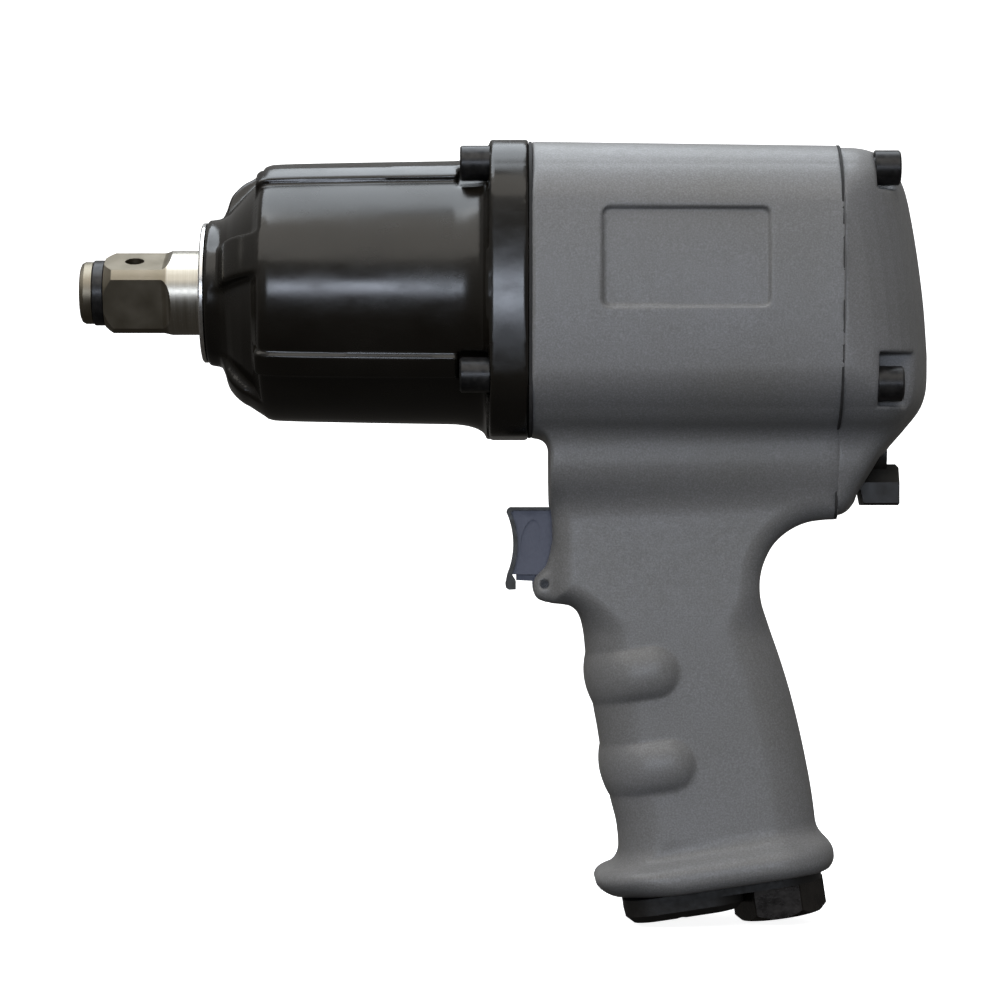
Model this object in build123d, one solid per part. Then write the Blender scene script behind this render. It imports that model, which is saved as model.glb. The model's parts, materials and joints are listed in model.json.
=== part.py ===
from build123d import *
import os
from math import cos, radians, sin

# Pistol-grip pneumatic impact wrench.
# Frame: X runs along the drive axis from the anvil's free end (x = 0) to the rear, Z is up, Y = 0 is the
# symmetry plane. Millimetres.

# ---- clearances ----
FIT = 0.03  # radial clearance of pressed and located round pieces
RUN = 0.05  # radial clearance of running pieces
SLACK = 0.4  # clearance of loose flat pieces

# ---- stations along the drive axis ----
NOSE_X = 34.8
CAVITY_X0 = NOSE_X + 22.2
CASE_L = 81.7
FLANGE_X0 = NOSE_X + CASE_L
FLANGE_T = 10.9
CASE_X1 = FLANGE_X0 + FLANGE_T
GASKET_T = 0.8
HOUSING_X0 = CASE_X1 + GASKET_T
HOUSING_L = 84.9
HOUSING_X1 = HOUSING_X0 + HOUSING_L
REAR_GASKET_T = 0.6
CAP_X0 = HOUSING_X1 + REAR_GASKET_T
CAP_L = 26.1
CAP_X1 = CAP_X0 + CAP_L

# ---- barrel outline ----
BARREL_W0 = 84.0
BARREL_H0 = BARREL_W0 - 1.0
BARREL_W1 = BARREL_W0 - 1.4
BARREL_H1 = BARREL_W0 - 3.2
BARREL_HALF = BARREL_W0 / 2
CORNER_R = 17.0
CROWN = 2.6  # the sides swell this much over 30 mm either side of the middle

# ---- anvil ----
DRIVE = 19.05  # 3/4 inch square
DRIVE_ROLL = 23.0  # the square's turn about the drive axis at rest
SHANK_R = 12.0
SQUARE_X0 = 8.3
SQUARE_X1 = SQUARE_X0 + 16.8
BUTTON_R = 8.85
GROOVE_X0 = 3.5
GROOVE_X1 = 7.0
GROOVE_R = 7.2
FRICTION_R = 9.3
COLLAR_R = 16.0
NECK_R = 14.0
CORE_R = 9.0
JAW_R = 14.0
JAW_W = 12.0
PILOT_R = 6.0

# ---- hammer mechanism ----
BUSHING_R = 15.0
CAVITY_R = 33.0
CAGE_R = CAVITY_R - 2.0
CAGE_X0 = CAVITY_X0 + 4.5
CAGE_PLATE = 5.0
HAMMER_W = 16.5
HAMMER_GAP = 0.5
CAGE_REAR_W = 9.0
PIN_R = 4.5
PIN_Y = CAGE_R - 9.0
HAMMER_R = CAGE_R - 7.0
HAMMER_BORE_R = 18.0
HAMMER_X0 = CAGE_X0 + CAGE_PLATE + HAMMER_GAP
HAMMER_X1 = HAMMER_X0 + HAMMER_W
HAMMER2_X0 = HAMMER_X1 + HAMMER_GAP
HAMMER2_X1 = HAMMER2_X0 + HAMMER_W
CAGE_REAR_X0 = HAMMER2_X1 + HAMMER_GAP
CAGE_X1 = CAGE_REAR_X0 + CAGE_REAR_W

# ---- hammer case ----
NOSE_R = 20.8
SHELL_R0 = CAVITY_R + 3.6
SHELL_R1 = CAVITY_R + 4.6
RIB_H = 1.2
RIB_W = 7.0
RIB_ANGLES = (58.0, -35.0)
NOSE_RIB_W = 11.0
NOSE_RIB_ROLL = 74.0
FLANGE_W = BARREL_W0

# ---- bolts (M6 socket head) ----
BOLT_R = 3.0
BOLT_HEAD_R = 4.9
BOLT_HEAD_H = 6.5
WASHER_T = 1.7
REAR_HEAD_H = 5.4
BOLT_HOLE_R = 3.3
SPOTFACE_R = 6.2
FRONT_BOLTS = [(BARREL_HALF - 16.0, BARREL_HALF - 7.5), (BARREL_HALF - 8.5, 17.4 - BARREL_HALF)]
REAR_BOLTS = [(BARREL_HALF - 16.0, BARREL_HALF - 8.8), (BARREL_HALF - 9.0, 15.0 - BARREL_HALF)]
FRONT_BOLT_X1 = HOUSING_X0 + 14.8
REAR_BOLT_X0 = HOUSING_X1 - 13.1
POCKET_X = CAP_X0 + 9.8

# ---- motor ----
MOTOR_R = 30.1
LINER_BORE_R = MOTOR_R - 5.1
LINER_OFFSET = 2.8
LINER_X0 = HOUSING_X0 + 11.8
REAR_PLATE_X1 = HOUSING_X1 - 1.1
LINER_X1 = REAR_PLATE_X1 - 12.0
ROTOR_R = LINER_BORE_R - LINER_OFFSET - 0.2
ROTOR_END_GAP = 0.3
SHAFT_R = 7.5
VANES = 6
VANE_T = 3.2
VANE_ROOT_R = 10.2
PLATE_X0 = HOUSING_X0 - 3.2
BALL_R = 2.38
BALLS = 9
RACE_W = 9.0
RACE_R = 16.0
RACE_WALL = 2.9
BALL_PITCH_R = (RACE_R + SHAFT_R) / 2
BEARING_X = (HOUSING_X0 + 2.0, LINER_X1 + 2.6)  # front faces of the two ball bearings

# ---- motor housing outside ----
NECK_X0 = HOUSING_X0 + 5.2
NECK_HALF = 21.0
BULGE_HALF0 = 27.0
BULGE_HALF1 = 23.5
BULGE_Z = -46.0
BULGE_H = 25.0
CHEST_Z = -64.5
LABEL = (147.5, 193.4, -6.1, 21.2)  # recessed plate field: x0, x1, z0, z1
LABEL_DEPTH = 0.7

# ---- grip ----
GRIP_HALF = 19.8
BASE_TILT = 8.5
BASE_AT = (181.0, 0.0, -168.1)
RIM_T = 9.0
RIM_W = 50.0
RIM_X0 = -34.6
RIM_X1 = 33.8
RIDGES = [(144.0, 169.8, -108.6), (148.4, 174.4, -134.6)]
RIDGE_H = 15.0
RIDGE_OUT = 1.4

# ---- trigger and throttle ----
HINGE_X = 131.9
HINGE_Z = -82.8
HINGE_PIN_R = 1.25
TRIGGER_TOP = -61.1
TRIGGER_HALF = 8.0
PLATE_HALF = 10.0
SLOT_HALF = 10.5
SLOT_X1 = 146.0
LUG_HALF = 16.5
ARM_R = 3.3
PLATE_T = 0.9
PLATE_FRONT_T = 1.2
THROTTLE_Z = -70.0
THROTTLE_PIN_R = 2.0
CHAMBER_R = 7.5
CHAMBER_X1 = SLOT_X1 + 28.0
GUIDE_X1 = SLOT_X1 + 6.0
POPPET_R = 6.2
POPPET_X1 = GUIDE_X1 + 5.0
SPRING_R = 4.4
SPRING_WIRE_R = 0.6

# ---- reverse valve ----
REVERSE_Z = -45.5
REVERSE_BUSH_R = 9.0
SPOOL_R = 6.5
REVERSE_X0 = 150.0
STEM_R = 4.0
LEVER_X0 = CAP_X0 + 7.7
LEVER_HUB_X1 = LEVER_X0 + 7.8
LEVER_X1 = LEVER_X0 + 11.3
LEVER_HALF = 7.0
HUB_R = 6.9
RECESS_HALF = 13.5
RECESS_X0 = LEVER_X0 - 0.6

# ---- air inlet and exhaust under the grip ----
INLET_U = 17.2
HEX_AF = 23.0
HEX_H = 9.6
HEX_TOP = -2.2  # the hexagon clamps the exhaust plate's flange, this thick
HEX_ROLL = -5.6
INLET_R = 7.3
INLET_SHANK_R = 9.9
INLET_SHANK_H = 14.0
SCREEN_T = 1.0
DUCT_R = 6.5
PLATE_U0 = -27.0
PLATE_U1 = 29.6
EXHAUST_T = 6.7
EXHAUST_W = 37.0
MUFFLER_U = (-21.0, 0.0)
MUFFLER_W = 18.0
MUFFLER_H = 9.0
SCREW_UV = (-11.7, 13.0)

BASE = Plane(
    origin=BASE_AT,
    x_dir=(cos(radians(BASE_TILT)), 0, sin(radians(BASE_TILT))),
    z_dir=(-sin(radians(BASE_TILT)), 0, cos(radians(BASE_TILT))),
)
SIDE = Plane(origin=(0, 0, 0), x_dir=(1, 0, 0), z_dir=(0, -1, 0))


def rod(x0, x1, r, y=0.0, z=0.0):
    """Round bar along X."""
    bar = Cylinder(r, x1 - x0, align=(Align.CENTER, Align.CENTER, Align.MIN))
    return Pos(x0, y, z) * Rot(0, 90, 0) * bar


def tube(x0, x1, r_out, r_in, y=0.0, z=0.0):
    return rod(x0, x1, r_out, y, z) - rod(x0 - 1, x1 + 1, r_in, y, z)


def cross_rod(x, z, r, half):
    """Round bar along Y."""
    return Pos(x, 0, z) * Rot(90, 0, 0) * Cylinder(r, 2 * half)


def block(x0, x1, y0, y1, z0, z1):
    box = Box(x1 - x0, y1 - y0, z1 - z0)
    return Pos((x0 + x1) / 2, (y0 + y1) / 2, (z0 + z1) / 2) * box


def turned(points):
    """Solid of revolution about the drive axis from (x, radius) corners."""
    return revolve(make_face(Polyline(*points, close=True)), Axis.X, 360)


def side_slab(face, half):
    """A face drawn in (x, z), given thickness both ways from the symmetry plane."""
    return extrude(SIDE * face, amount=half, both=True)


def side_shape(points, half):
    return side_slab(make_face(Polyline(*points, close=True)), half)


def across(x):
    return Plane(origin=(x, 0, 0), x_dir=(0, 1, 0), z_dir=(1, 0, 0))


def barrel_outline(w, h, r):
    """Rounded square with slightly swollen sides, the barrel's outline in (y, z)."""
    side_r = (30.0 ** 2 + CROWN ** 2) / (2 * CROWN)
    top_r = (30.0 ** 2 + (0.4 * CROWN) ** 2) / (0.8 * CROWN)
    outline = Pos(w / 2 - side_r, 0) * Circle(side_r) & Pos(side_r - w / 2, 0) * Circle(side_r)
    outline = outline & Pos(0, h / 2 - top_r) * Circle(top_r)
    outline = outline & Pos(0, top_r - h / 2) * Circle(top_r)
    return fillet(outline.vertices(), r)


def loft_x(x0, first, x1, last, z0=0.0, z1=0.0):
    """Bar along X that changes evenly from the first outline to the last."""
    start = across(x0) * Pos(0, z0) * first
    end = across(x1) * Pos(0, z1) * last
    return loft([start.faces()[0], end.faces()[0]])


def at_bolts(places):
    spots = []
    for y, z in places:
        spots.append((y, z))
        spots.append((-y, z))
    return spots


def group(solids):
    return Compound(children=list(solids))


def on_base(shape):
    return BASE.location * shape


def base_rod(u, v, z0, z1, r):
    """Round bar square to the grip's base plane."""
    bar = Cylinder(r, z1 - z0, align=(Align.CENTER, Align.CENTER, Align.MIN))
    return on_base(Pos(u, v, z0) * bar)


# ---------------------------------------------------------------- anvil

def make_anvil():
    anvil = turned([
        (0.0, 0.0), (0.0, BUTTON_R - 1.4), (0.4, BUTTON_R - 0.5), (1.3, BUTTON_R), (GROOVE_X0, BUTTON_R),
        (GROOVE_X0, GROOVE_R), (GROOVE_X1, GROOVE_R), (GROOVE_X1, DRIVE / 2 + 0.3),
        (SQUARE_X0 + 1.2, SHANK_R),
        (CAVITY_X0 + 0.1, SHANK_R), (CAVITY_X0 + 0.1, COLLAR_R), (CAGE_X0 - 0.4, COLLAR_R),
        (CAGE_X0 - 0.4, NECK_R), (HAMMER_X0 - 0.2, NECK_R), (HAMMER_X0 - 0.2, CORE_R),
        (CAGE_REAR_X0 - 0.2, CORE_R), (CAGE_REAR_X0 - 0.2, PILOT_R), (CAGE_REAR_X0 + 7.0, PILOT_R),
        (CAGE_REAR_X0 + 7.0, 0.0),
    ])
    for k in range(4):
        anvil = anvil - Rot(DRIVE_ROLL + 90 * k, 0, 0) * square_flat()
    anvil = anvil + block(HAMMER_X0 + 0.3, HAMMER_X1 - 0.3, -JAW_W / 2, JAW_W / 2, 0, JAW_R - 1.5)
    anvil = anvil + block(HAMMER2_X0 + 0.3, HAMMER2_X1 - 0.3, -JAW_W / 2, JAW_W / 2, 1.5 - JAW_R, 0)
    pin_x = SQUARE_X0 + 7.2
    hole = Rot(DRIVE_ROLL, 0, 0) * Pos(pin_x, 0, 0) * Cylinder(2.75, DRIVE + 8)
    return anvil - hole


def square_flat():
    """What the cutter takes for one flat of the square, with its run-out into the round shank."""
    flat = DRIVE / 2
    rise = Polyline((GROOVE_X1 - 0.01, flat), (GROOVE_X1 - 0.01, SHANK_R + 2),
        (SQUARE_X1 + 1.4, SHANK_R + 2),
                    (SQUARE_X1 + 1.4, SHANK_R + 0.4))
    bend = ThreePointArc((SQUARE_X1 + 1.4, SHANK_R + 0.4), (SQUARE_X1 + 0.2, flat + 0.9),
        (SQUARE_X1 - 1.4, flat))
    foot = Line((SQUARE_X1 - 1.4, flat), (GROOVE_X1 - 0.01, flat))
    face = make_face(rise.edges() + bend.edges() + foot.edges())
    return side_slab(face, SHANK_R + 2)


def make_friction_ring():
    ring = tube(GROOVE_X0 + 0.25, GROOVE_X1 - 0.15, FRICTION_R, FRICTION_R - 0.9)
    ring = fillet(ring.edges().filter_by(GeomType.CIRCLE).sort_by(SortBy.RADIUS)[-2:], 0.35)
    gap = block(0, 10, -0.8, 0.8, -12, 0)
    return ring - gap


def make_retainer_oring():
    mid = (GROOVE_X0 + GROOVE_X1) / 2
    return Pos(mid, 0, 0) * Rot(0, 90, 0) * Torus(GROOVE_R + 0.62, 0.58)


# ---------------------------------------------------------------- hammer case

def shell_profile(extra):
    """Outside of the case as (x, radius) corners, grown by extra."""
    return [
        (NOSE_X + 9.2, SHELL_R0 - 7.0), (NOSE_X + 11.5, SHELL_R0 - 4.9), (NOSE_X + 13.8, SHELL_R0 - 3.5),
        (NOSE_X + 16.0, SHELL_R0 - 2.0), (NOSE_X + 18.3, SHELL_R0 - 0.8), (NOSE_X + 20.6, SHELL_R0 - 0.2),
        (NOSE_X + 22.9, SHELL_R0), (FLANGE_X0 - 11.5, SHELL_R1 + extra),
    ]


def make_hammer_case():
    outer = turned(
        [(NOSE_X + 1.2, 0.0), (NOSE_X + 1.2, NOSE_R - 1.6), (NOSE_X + 2.4, NOSE_R),
         (NOSE_X + 5.8, NOSE_R + 0.4),
         (NOSE_X + 6.9, SHELL_R0 - 10.6)]
        + shell_profile(0.0)
        + [(FLANGE_X0 - 7.5, SHELL_R1 + 0.6), (FLANGE_X0 - 4.0, SHELL_R1 + 2.2),
           (FLANGE_X0 - 1.5, SHELL_R1 + 4.4),
           (FLANGE_X0 + 1, SHELL_R1 + 7.4),
           (FLANGE_X0 + 1, 0.0)]
    )
    prism = across(NOSE_X) * barrel_outline(FLANGE_W, FLANGE_W, CORNER_R)
    outer = outer & extrude(prism, amount=FLANGE_X0 + 1 - NOSE_X)
    flange = across(FLANGE_X0) * barrel_outline(FLANGE_W, FLANGE_W, CORNER_R)
    flange = extrude(flange, amount=CASE_X1 - FLANGE_X0)
    outer = outer + flange
    # hollows between the four nose ribs
    hollow = turned([
        (NOSE_X + 6.0, NOSE_R + 0.1), (NOSE_X + 6.0, 60.0), (NOSE_X + 15.8, 60.0),
        (NOSE_X + 16.6, SHELL_R0 - 3.4),
        (NOSE_X + 15.8, SHELL_R0 - 5.8), (NOSE_X + 13.2, SHELL_R0 - 8.2), (NOSE_X + 10.2, SHELL_R0 - 11.6),
        (NOSE_X + 7.6, SHELL_R0 - 15.0),
    ])
    for angle in (NOSE_RIB_ROLL, NOSE_RIB_ROLL + 90):
        rib = block(NOSE_X + 3, NOSE_X + 19, -NOSE_RIB_W / 2, NOSE_RIB_W / 2, -70, 70)
        hollow = hollow - Rot(angle, 0, 0) * rib
    outer = outer - hollow
    # long ribs in line with the bolts
    skin = turned([(NOSE_X + 15.2, 0.0), (NOSE_X + 15.2, SHELL_R0 - 1.6), (NOSE_X + 18.2, SHELL_R0 + 0.3),
                   (NOSE_X + 22.9, SHELL_R0 + RIB_H), (FLANGE_X0 - 8.5, SHELL_R1 + RIB_H),
                   (FLANGE_X0 - 8.5, 0.0)])
    for angle in RIB_ANGLES:
        for turn in (90 - angle, angle - 90):
            bar = block(NOSE_X + 16.2, FLANGE_X0 - 9.5, -RIB_W / 2, RIB_W / 2, CAVITY_R + 1.0, 60.0)
            outer = outer + ((Rot(-turn, 0, 0) * bar) & skin)
    for y, z in at_bolts(FRONT_BOLTS):
        outer = outer - rod(FLANGE_X0 - 13.5, FLANGE_X0, SPOTFACE_R, y, z)
        outer = outer - rod(FLANGE_X0 - 1, CASE_X1 + 1, BOLT_HOLE_R, y, z)
    cavity = turned([
        (CAVITY_X0, 0.0), (CAVITY_X0, CAVITY_R - 3.0), (CAVITY_X0 + 3.0, CAVITY_R), (CASE_X1 + 1, CAVITY_R),
        (CASE_X1 + 1, 0.0),
    ])
    return outer - cavity - rod(NOSE_X, CAVITY_X0 + 1, BUSHING_R + FIT)


def make_anvil_bushing():
    body = turned([
        (NOSE_X, SHANK_R + RUN), (NOSE_X, NOSE_R - 1.3), (NOSE_X + 0.4, NOSE_R - 0.9),
        (NOSE_X + 1.2, NOSE_R - 0.9),
        (NOSE_X + 1.2, BUSHING_R), (CAVITY_X0 - 1.0, BUSHING_R), (CAVITY_X0 - 1.0, SHANK_R + RUN),
    ])
    return body


def make_thrust_washer():
    return tube(CAVITY_X0 - 1.0, CAVITY_X0, BUSHING_R - 0.1, SHANK_R + 0.2)


def make_front_gasket():
    pad = across(CASE_X1) * barrel_outline(FLANGE_W - 1.2, FLANGE_W - 1.2, CORNER_R - 0.6)
    pad = extrude(pad, amount=HOUSING_X0 - CASE_X1)
    pad = pad - rod(CASE_X1 - 1, HOUSING_X0 + 1, CAVITY_R)
    for y, z in at_bolts(FRONT_BOLTS):
        pad = pad - rod(CASE_X1 - 1, HOUSING_X0 + 1, BOLT_HOLE_R, y, z)
    return pad


def socket_bolt(head_x, tip_x, y, z, head_h=BOLT_HEAD_H):
    """Socket head bolt; the head lies at head_x and the shank runs to tip_x."""
    way = 1 if tip_x > head_x else -1
    under = head_x + way * head_h
    head = rod(min(head_x, under), max(head_x, under), BOLT_HEAD_R, y, z)
    edge = head.edges().filter_by(GeomType.CIRCLE).sort_by(Axis.X)[0 if way > 0 else -1]
    head = chamfer(edge, 0.5)
    shank = rod(min(under, tip_x), max(under, tip_x), BOLT_R, y, z)
    key = across(head_x) * Pos(y, z) * RegularPolygon(5.0 / 2, 6, major_radius=False)
    key = extrude(key, amount=way * 3.2)
    return head + shank - key


def split_washer(x0, y, z):
    ring = tube(x0, x0 + WASHER_T, 4.9, BOLT_R + 0.15, y, z)
    return ring - block(x0 - 1, x0 + 3, y - 0.5, y + 0.5, z, z + 8)


def make_front_bolts():
    head_x = FLANGE_X0 - WASHER_T - BOLT_HEAD_H
    return group(socket_bolt(head_x, FRONT_BOLT_X1, y, z) for y, z in at_bolts(FRONT_BOLTS))


def make_front_lock_washers():
    return group(split_washer(FLANGE_X0 - WASHER_T, y, z) for y, z in at_bolts(FRONT_BOLTS))


def make_rear_bolts():
    head_x = POCKET_X + WASHER_T + REAR_HEAD_H
    return group(socket_bolt(head_x, REAR_BOLT_X0, y, z, REAR_HEAD_H) for y, z in at_bolts(REAR_BOLTS))


def make_rear_lock_washers():
    return group(split_washer(POCKET_X, y, z) for y, z in at_bolts(REAR_BOLTS))


# ---------------------------------------------------------------- hammers and cage

def make_hammer_cage():
    front = rod(CAGE_X0, CAGE_X0 + CAGE_PLATE, CAGE_R) - rod(CAGE_X0 - 1, HAMMER_X0, NECK_R + RUN)
    rear = rod(CAGE_REAR_X0, CAGE_X1, CAGE_R) - spline(CAGE_REAR_X0 - 1, CAGE_X1 + 1, 0.1)
    ring = tube(CAGE_X0 + CAGE_PLATE, CAGE_REAR_X0, CAGE_R, CAGE_R - 2.5)
    width = 24.0
    struts = ring & block(CAGE_X0, CAGE_X1, -width / 2, width / 2, -40, 40)
    cage = front + rear + struts
    for y in (-PIN_Y, PIN_Y):
        cage = cage - rod(CAGE_X0 - 1, CAGE_X1 - 1, PIN_R + FIT, y, 0)
    return cage


def spline(x0, x1, grow):
    """Six-tooth shaft; grow widens it all round for the mating bore."""
    shaft = rod(x0, x1, 8.2 + grow)
    for k in range(3):
        tooth = block(x0, x1, -2.2 - grow, 2.2 + grow, -9.8 - grow, 9.8 + grow)
        shaft = shaft + Rot(60 * k, 0, 0) * tooth
    return shaft


def make_hammer_pins():
    return group(rod(CAGE_X0 + 0.2, CAGE_X1 - 1.2, PIN_R, y, 0) for y in (-PIN_Y, PIN_Y))


def hammer(x0, x1, way):
    """Hammer ring that rocks on the pin on the way side; its tooth faces that pin."""
    ring = tube(x0, x1, HAMMER_R, HAMMER_BORE_R)
    hub = rod(x0, x1, PIN_R + 3.5, way * PIN_Y, 0)
    tooth = block(x0, x1, -HAMMER_BORE_R - 2, -11.5, -11.0, 11.0)
    tooth = tooth & rod(x0, x1, HAMMER_R)
    tooth = tooth if way > 0 else mirror(tooth, Plane.XZ)
    notch = block(x0 - 1, x1 + 1, -40, -PIN_Y + PIN_R + 0.6, -10.4, 10.4)
    notch = notch if way > 0 else mirror(notch, Plane.XZ)
    return ring + hub + tooth - notch - rod(x0 - 1, x1 + 1, PIN_R + RUN, way * PIN_Y, 0)


def make_front_hammer():
    return hammer(HAMMER_X0, HAMMER_X1, 1)


def make_rear_hammer():
    return hammer(HAMMER2_X0, HAMMER2_X1, -1)


# ---------------------------------------------------------------- air motor

def bearing_pocket(x0, x1):
    return rod(x0, x1, RACE_R + FIT)


def make_front_end_plate():
    plate = rod(HOUSING_X0 - 1, LINER_X0, MOTOR_R - FIT) + rod(PLATE_X0, HOUSING_X0, CAVITY_R - 0.1)
    front = BEARING_X[0]
    plate = plate - rod(LINER_X0 - 4, LINER_X0 + 1, 1.0, 0, 3.0 - MOTOR_R)
    return plate - rod(PLATE_X0 - 1, front + RACE_W, RACE_R + FIT) - rod(front, LINER_X0 + 1, SHAFT_R + 0.6)


def make_rear_end_plate():
    plate = rod(LINER_X1, REAR_PLATE_X1, MOTOR_R - FIT)
    front = BEARING_X[1]
    return plate - rod(front, REAR_PLATE_X1 + 1, RACE_R + FIT) - rod(LINER_X1 - 1, front + 1, SHAFT_R + 0.6)


def make_cylinder_liner():
    liner = rod(LINER_X0, LINER_X1, MOTOR_R - FIT)
    liner = liner - rod(LINER_X0 - 1, LINER_X1 + 1, LINER_BORE_R, 0, LINER_OFFSET)
    ports = int((LINER_X1 - LINER_X0 - 16) / 8) + 1
    for k in range(ports):
        x = LINER_X0 + 8 + 8 * k
        liner = liner - block(x - 2, x + 2, -MOTOR_R - 5, -15, -9, -5)
        liner = liner - block(x - 2, x + 2, 15, MOTOR_R + 5, -9, -5)
    return liner - rod(LINER_X0 - 1, LINER_X0 + 4, 1.0, 0, -MOTOR_R + 3.0)


def make_liner_dowel():
    return rod(LINER_X0 - 4, LINER_X0 + 4, 1.0 - FIT, 0, -MOTOR_R + 3.0)


def make_rotor():
    x0 = LINER_X0 + ROTOR_END_GAP
    x1 = LINER_X1 - ROTOR_END_GAP
    rotor = rod(x0, x1, ROTOR_R)
    for k in range(VANES):
        slot = block(x0 - 1, x1 + 1, -VANE_T / 2 - 0.1, VANE_T / 2 + 0.1, VANE_ROOT_R, ROTOR_R + 5)
        rotor = rotor - Rot(360 / VANES * k, 0, 0) * slot
    shaft = rod(CAGE_X1 - 1, REAR_PLATE_X1 - 0.4, SHAFT_R)
    return rotor + shaft + spline(CAGE_REAR_X0 + 0.5, CAGE_X1, 0.0) - rod(
        CAGE_REAR_X0, CAGE_REAR_X0 + 7.6, PILOT_R + RUN
    )


def make_vanes():
    x0 = LINER_X0 + ROTOR_END_GAP
    x1 = LINER_X1 - ROTOR_END_GAP
    vane = block(x0, x1, -VANE_T / 2, VANE_T / 2, VANE_ROOT_R + 0.2, ROTOR_R - 0.6)
    return group(Rot(360 / VANES * k, 0, 0) * vane for k in range(VANES))


def ball_groove(x0):
    return Pos(x0 + RACE_W / 2, 0, 0) * Rot(0, 90, 0) * Torus(BALL_PITCH_R, BALL_R + 0.06)


def make_outer_race(x0):
    return tube(x0, x0 + RACE_W, RACE_R, RACE_R - RACE_WALL) - ball_groove(x0)


def make_inner_race(x0):
    return tube(x0, x0 + RACE_W, SHAFT_R + RACE_WALL, SHAFT_R + FIT) - ball_groove(x0)


def make_balls(x0):
    balls = []
    for k in range(BALLS):
        ball = Pos(x0 + RACE_W / 2, 0, BALL_PITCH_R) * Sphere(BALL_R)
        balls.append(Rot(360 / BALLS * k, 0, 0) * ball)
    return group(balls)


# ---------------------------------------------------------------- motor housing

def neck_shape():
    """Neck and lower chest under the barrel."""
    rear = Spline((193.1, -88.2), (192.6, -82.0), (193.8, -76.8), (197.9, -70.2), (205.6, CHEST_Z - 1.1),
                  (HOUSING_X1, CHEST_Z))
    face = make_face(
        Polyline((HOUSING_X1, CHEST_Z), (HOUSING_X1, -28.0), (NECK_X0, -28.0), (NECK_X0, -82.0),
                 (NECK_X0 + 3.2, -88.5), (193.1, -88.2)).edges() + rear.edges()
    )
    return side_slab(face, NECK_HALF)


def grip_section(z, front, rear, half, corner):
    plane = Plane(origin=((front + rear) / 2, 0, z), x_dir=(1, 0, 0), z_dir=(0, 0, 1))
    return (plane * RectangleRounded(rear - front, 2 * half, corner)).faces()[0]


def grip_shape():
    rows = [
        (-162.0, 151.6, 210.6, GRIP_HALF, 15.0),
        (-152.0, 152.8, 209.2, GRIP_HALF - 0.4, 15.0),
        (-140.8, 150.2, 207.6, GRIP_HALF - 0.6, 15.0),
        (-122.5, 147.7, 203.9, GRIP_HALF - 0.4, 15.0),
        (-104.2, 144.6, 198.8, GRIP_HALF - 0.2, 14.5),
        (-90.0, 141.4, 193.4, GRIP_HALF, 14.0),
        (-80.0, 140.6, 192.4, GRIP_HALF + 0.3, 13.0),
    ]
    return loft([grip_section(*row) for row in rows])


def ridge_shape(x0, x1, z):
    """Raised finger ridge that wraps the front of the grip."""
    length = x1 - x0 + RIDGE_OUT
    bar = Rot(0, 0, 0) * Box(length, 2 * (GRIP_HALF + RIDGE_OUT - 0.4), RIDGE_H)
    bar = fillet(bar.edges().filter_by(Axis.Z), 13.0)
    bar = fillet(bar.edges().group_by(Axis.Z)[-1] + bar.edges().group_by(Axis.Z)[0], 2.0)
    return Pos((x0 + x1 - RIDGE_OUT) / 2, 0, z) * Rot(0, -BASE_TILT, 0) * bar


def rim_shape():
    mid = (RIM_X0 + RIM_X1) / 2
    rim = extrude(RectangleRounded(RIM_X1 - RIM_X0, RIM_W, 17.0), amount=RIM_T)
    rim = fillet(rim.edges().group_by(Axis.Z)[-1], 3.5)
    rim = fillet(rim.edges().group_by(Axis.Z)[0], 3.0)
    return on_base(Pos(mid, 0, 0) * rim)


def lug_shape():
    """Cheeks that carry the trigger's hinge pin."""
    face = make_face(Polyline(
        (NECK_X0 + 4, -72.0), (NECK_X0, -75.5), (131.4, -78.6), (129.6, -80.6), (128.6, -82.6),
        (128.5, -85.6),
        (129.6, -87.8), (131.4, -88.5), (NECK_X0 + 14, -88.6), (NECK_X0 + 14, -72.0), close=True,
    ))
    return side_slab(face, LUG_HALF)


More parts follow.
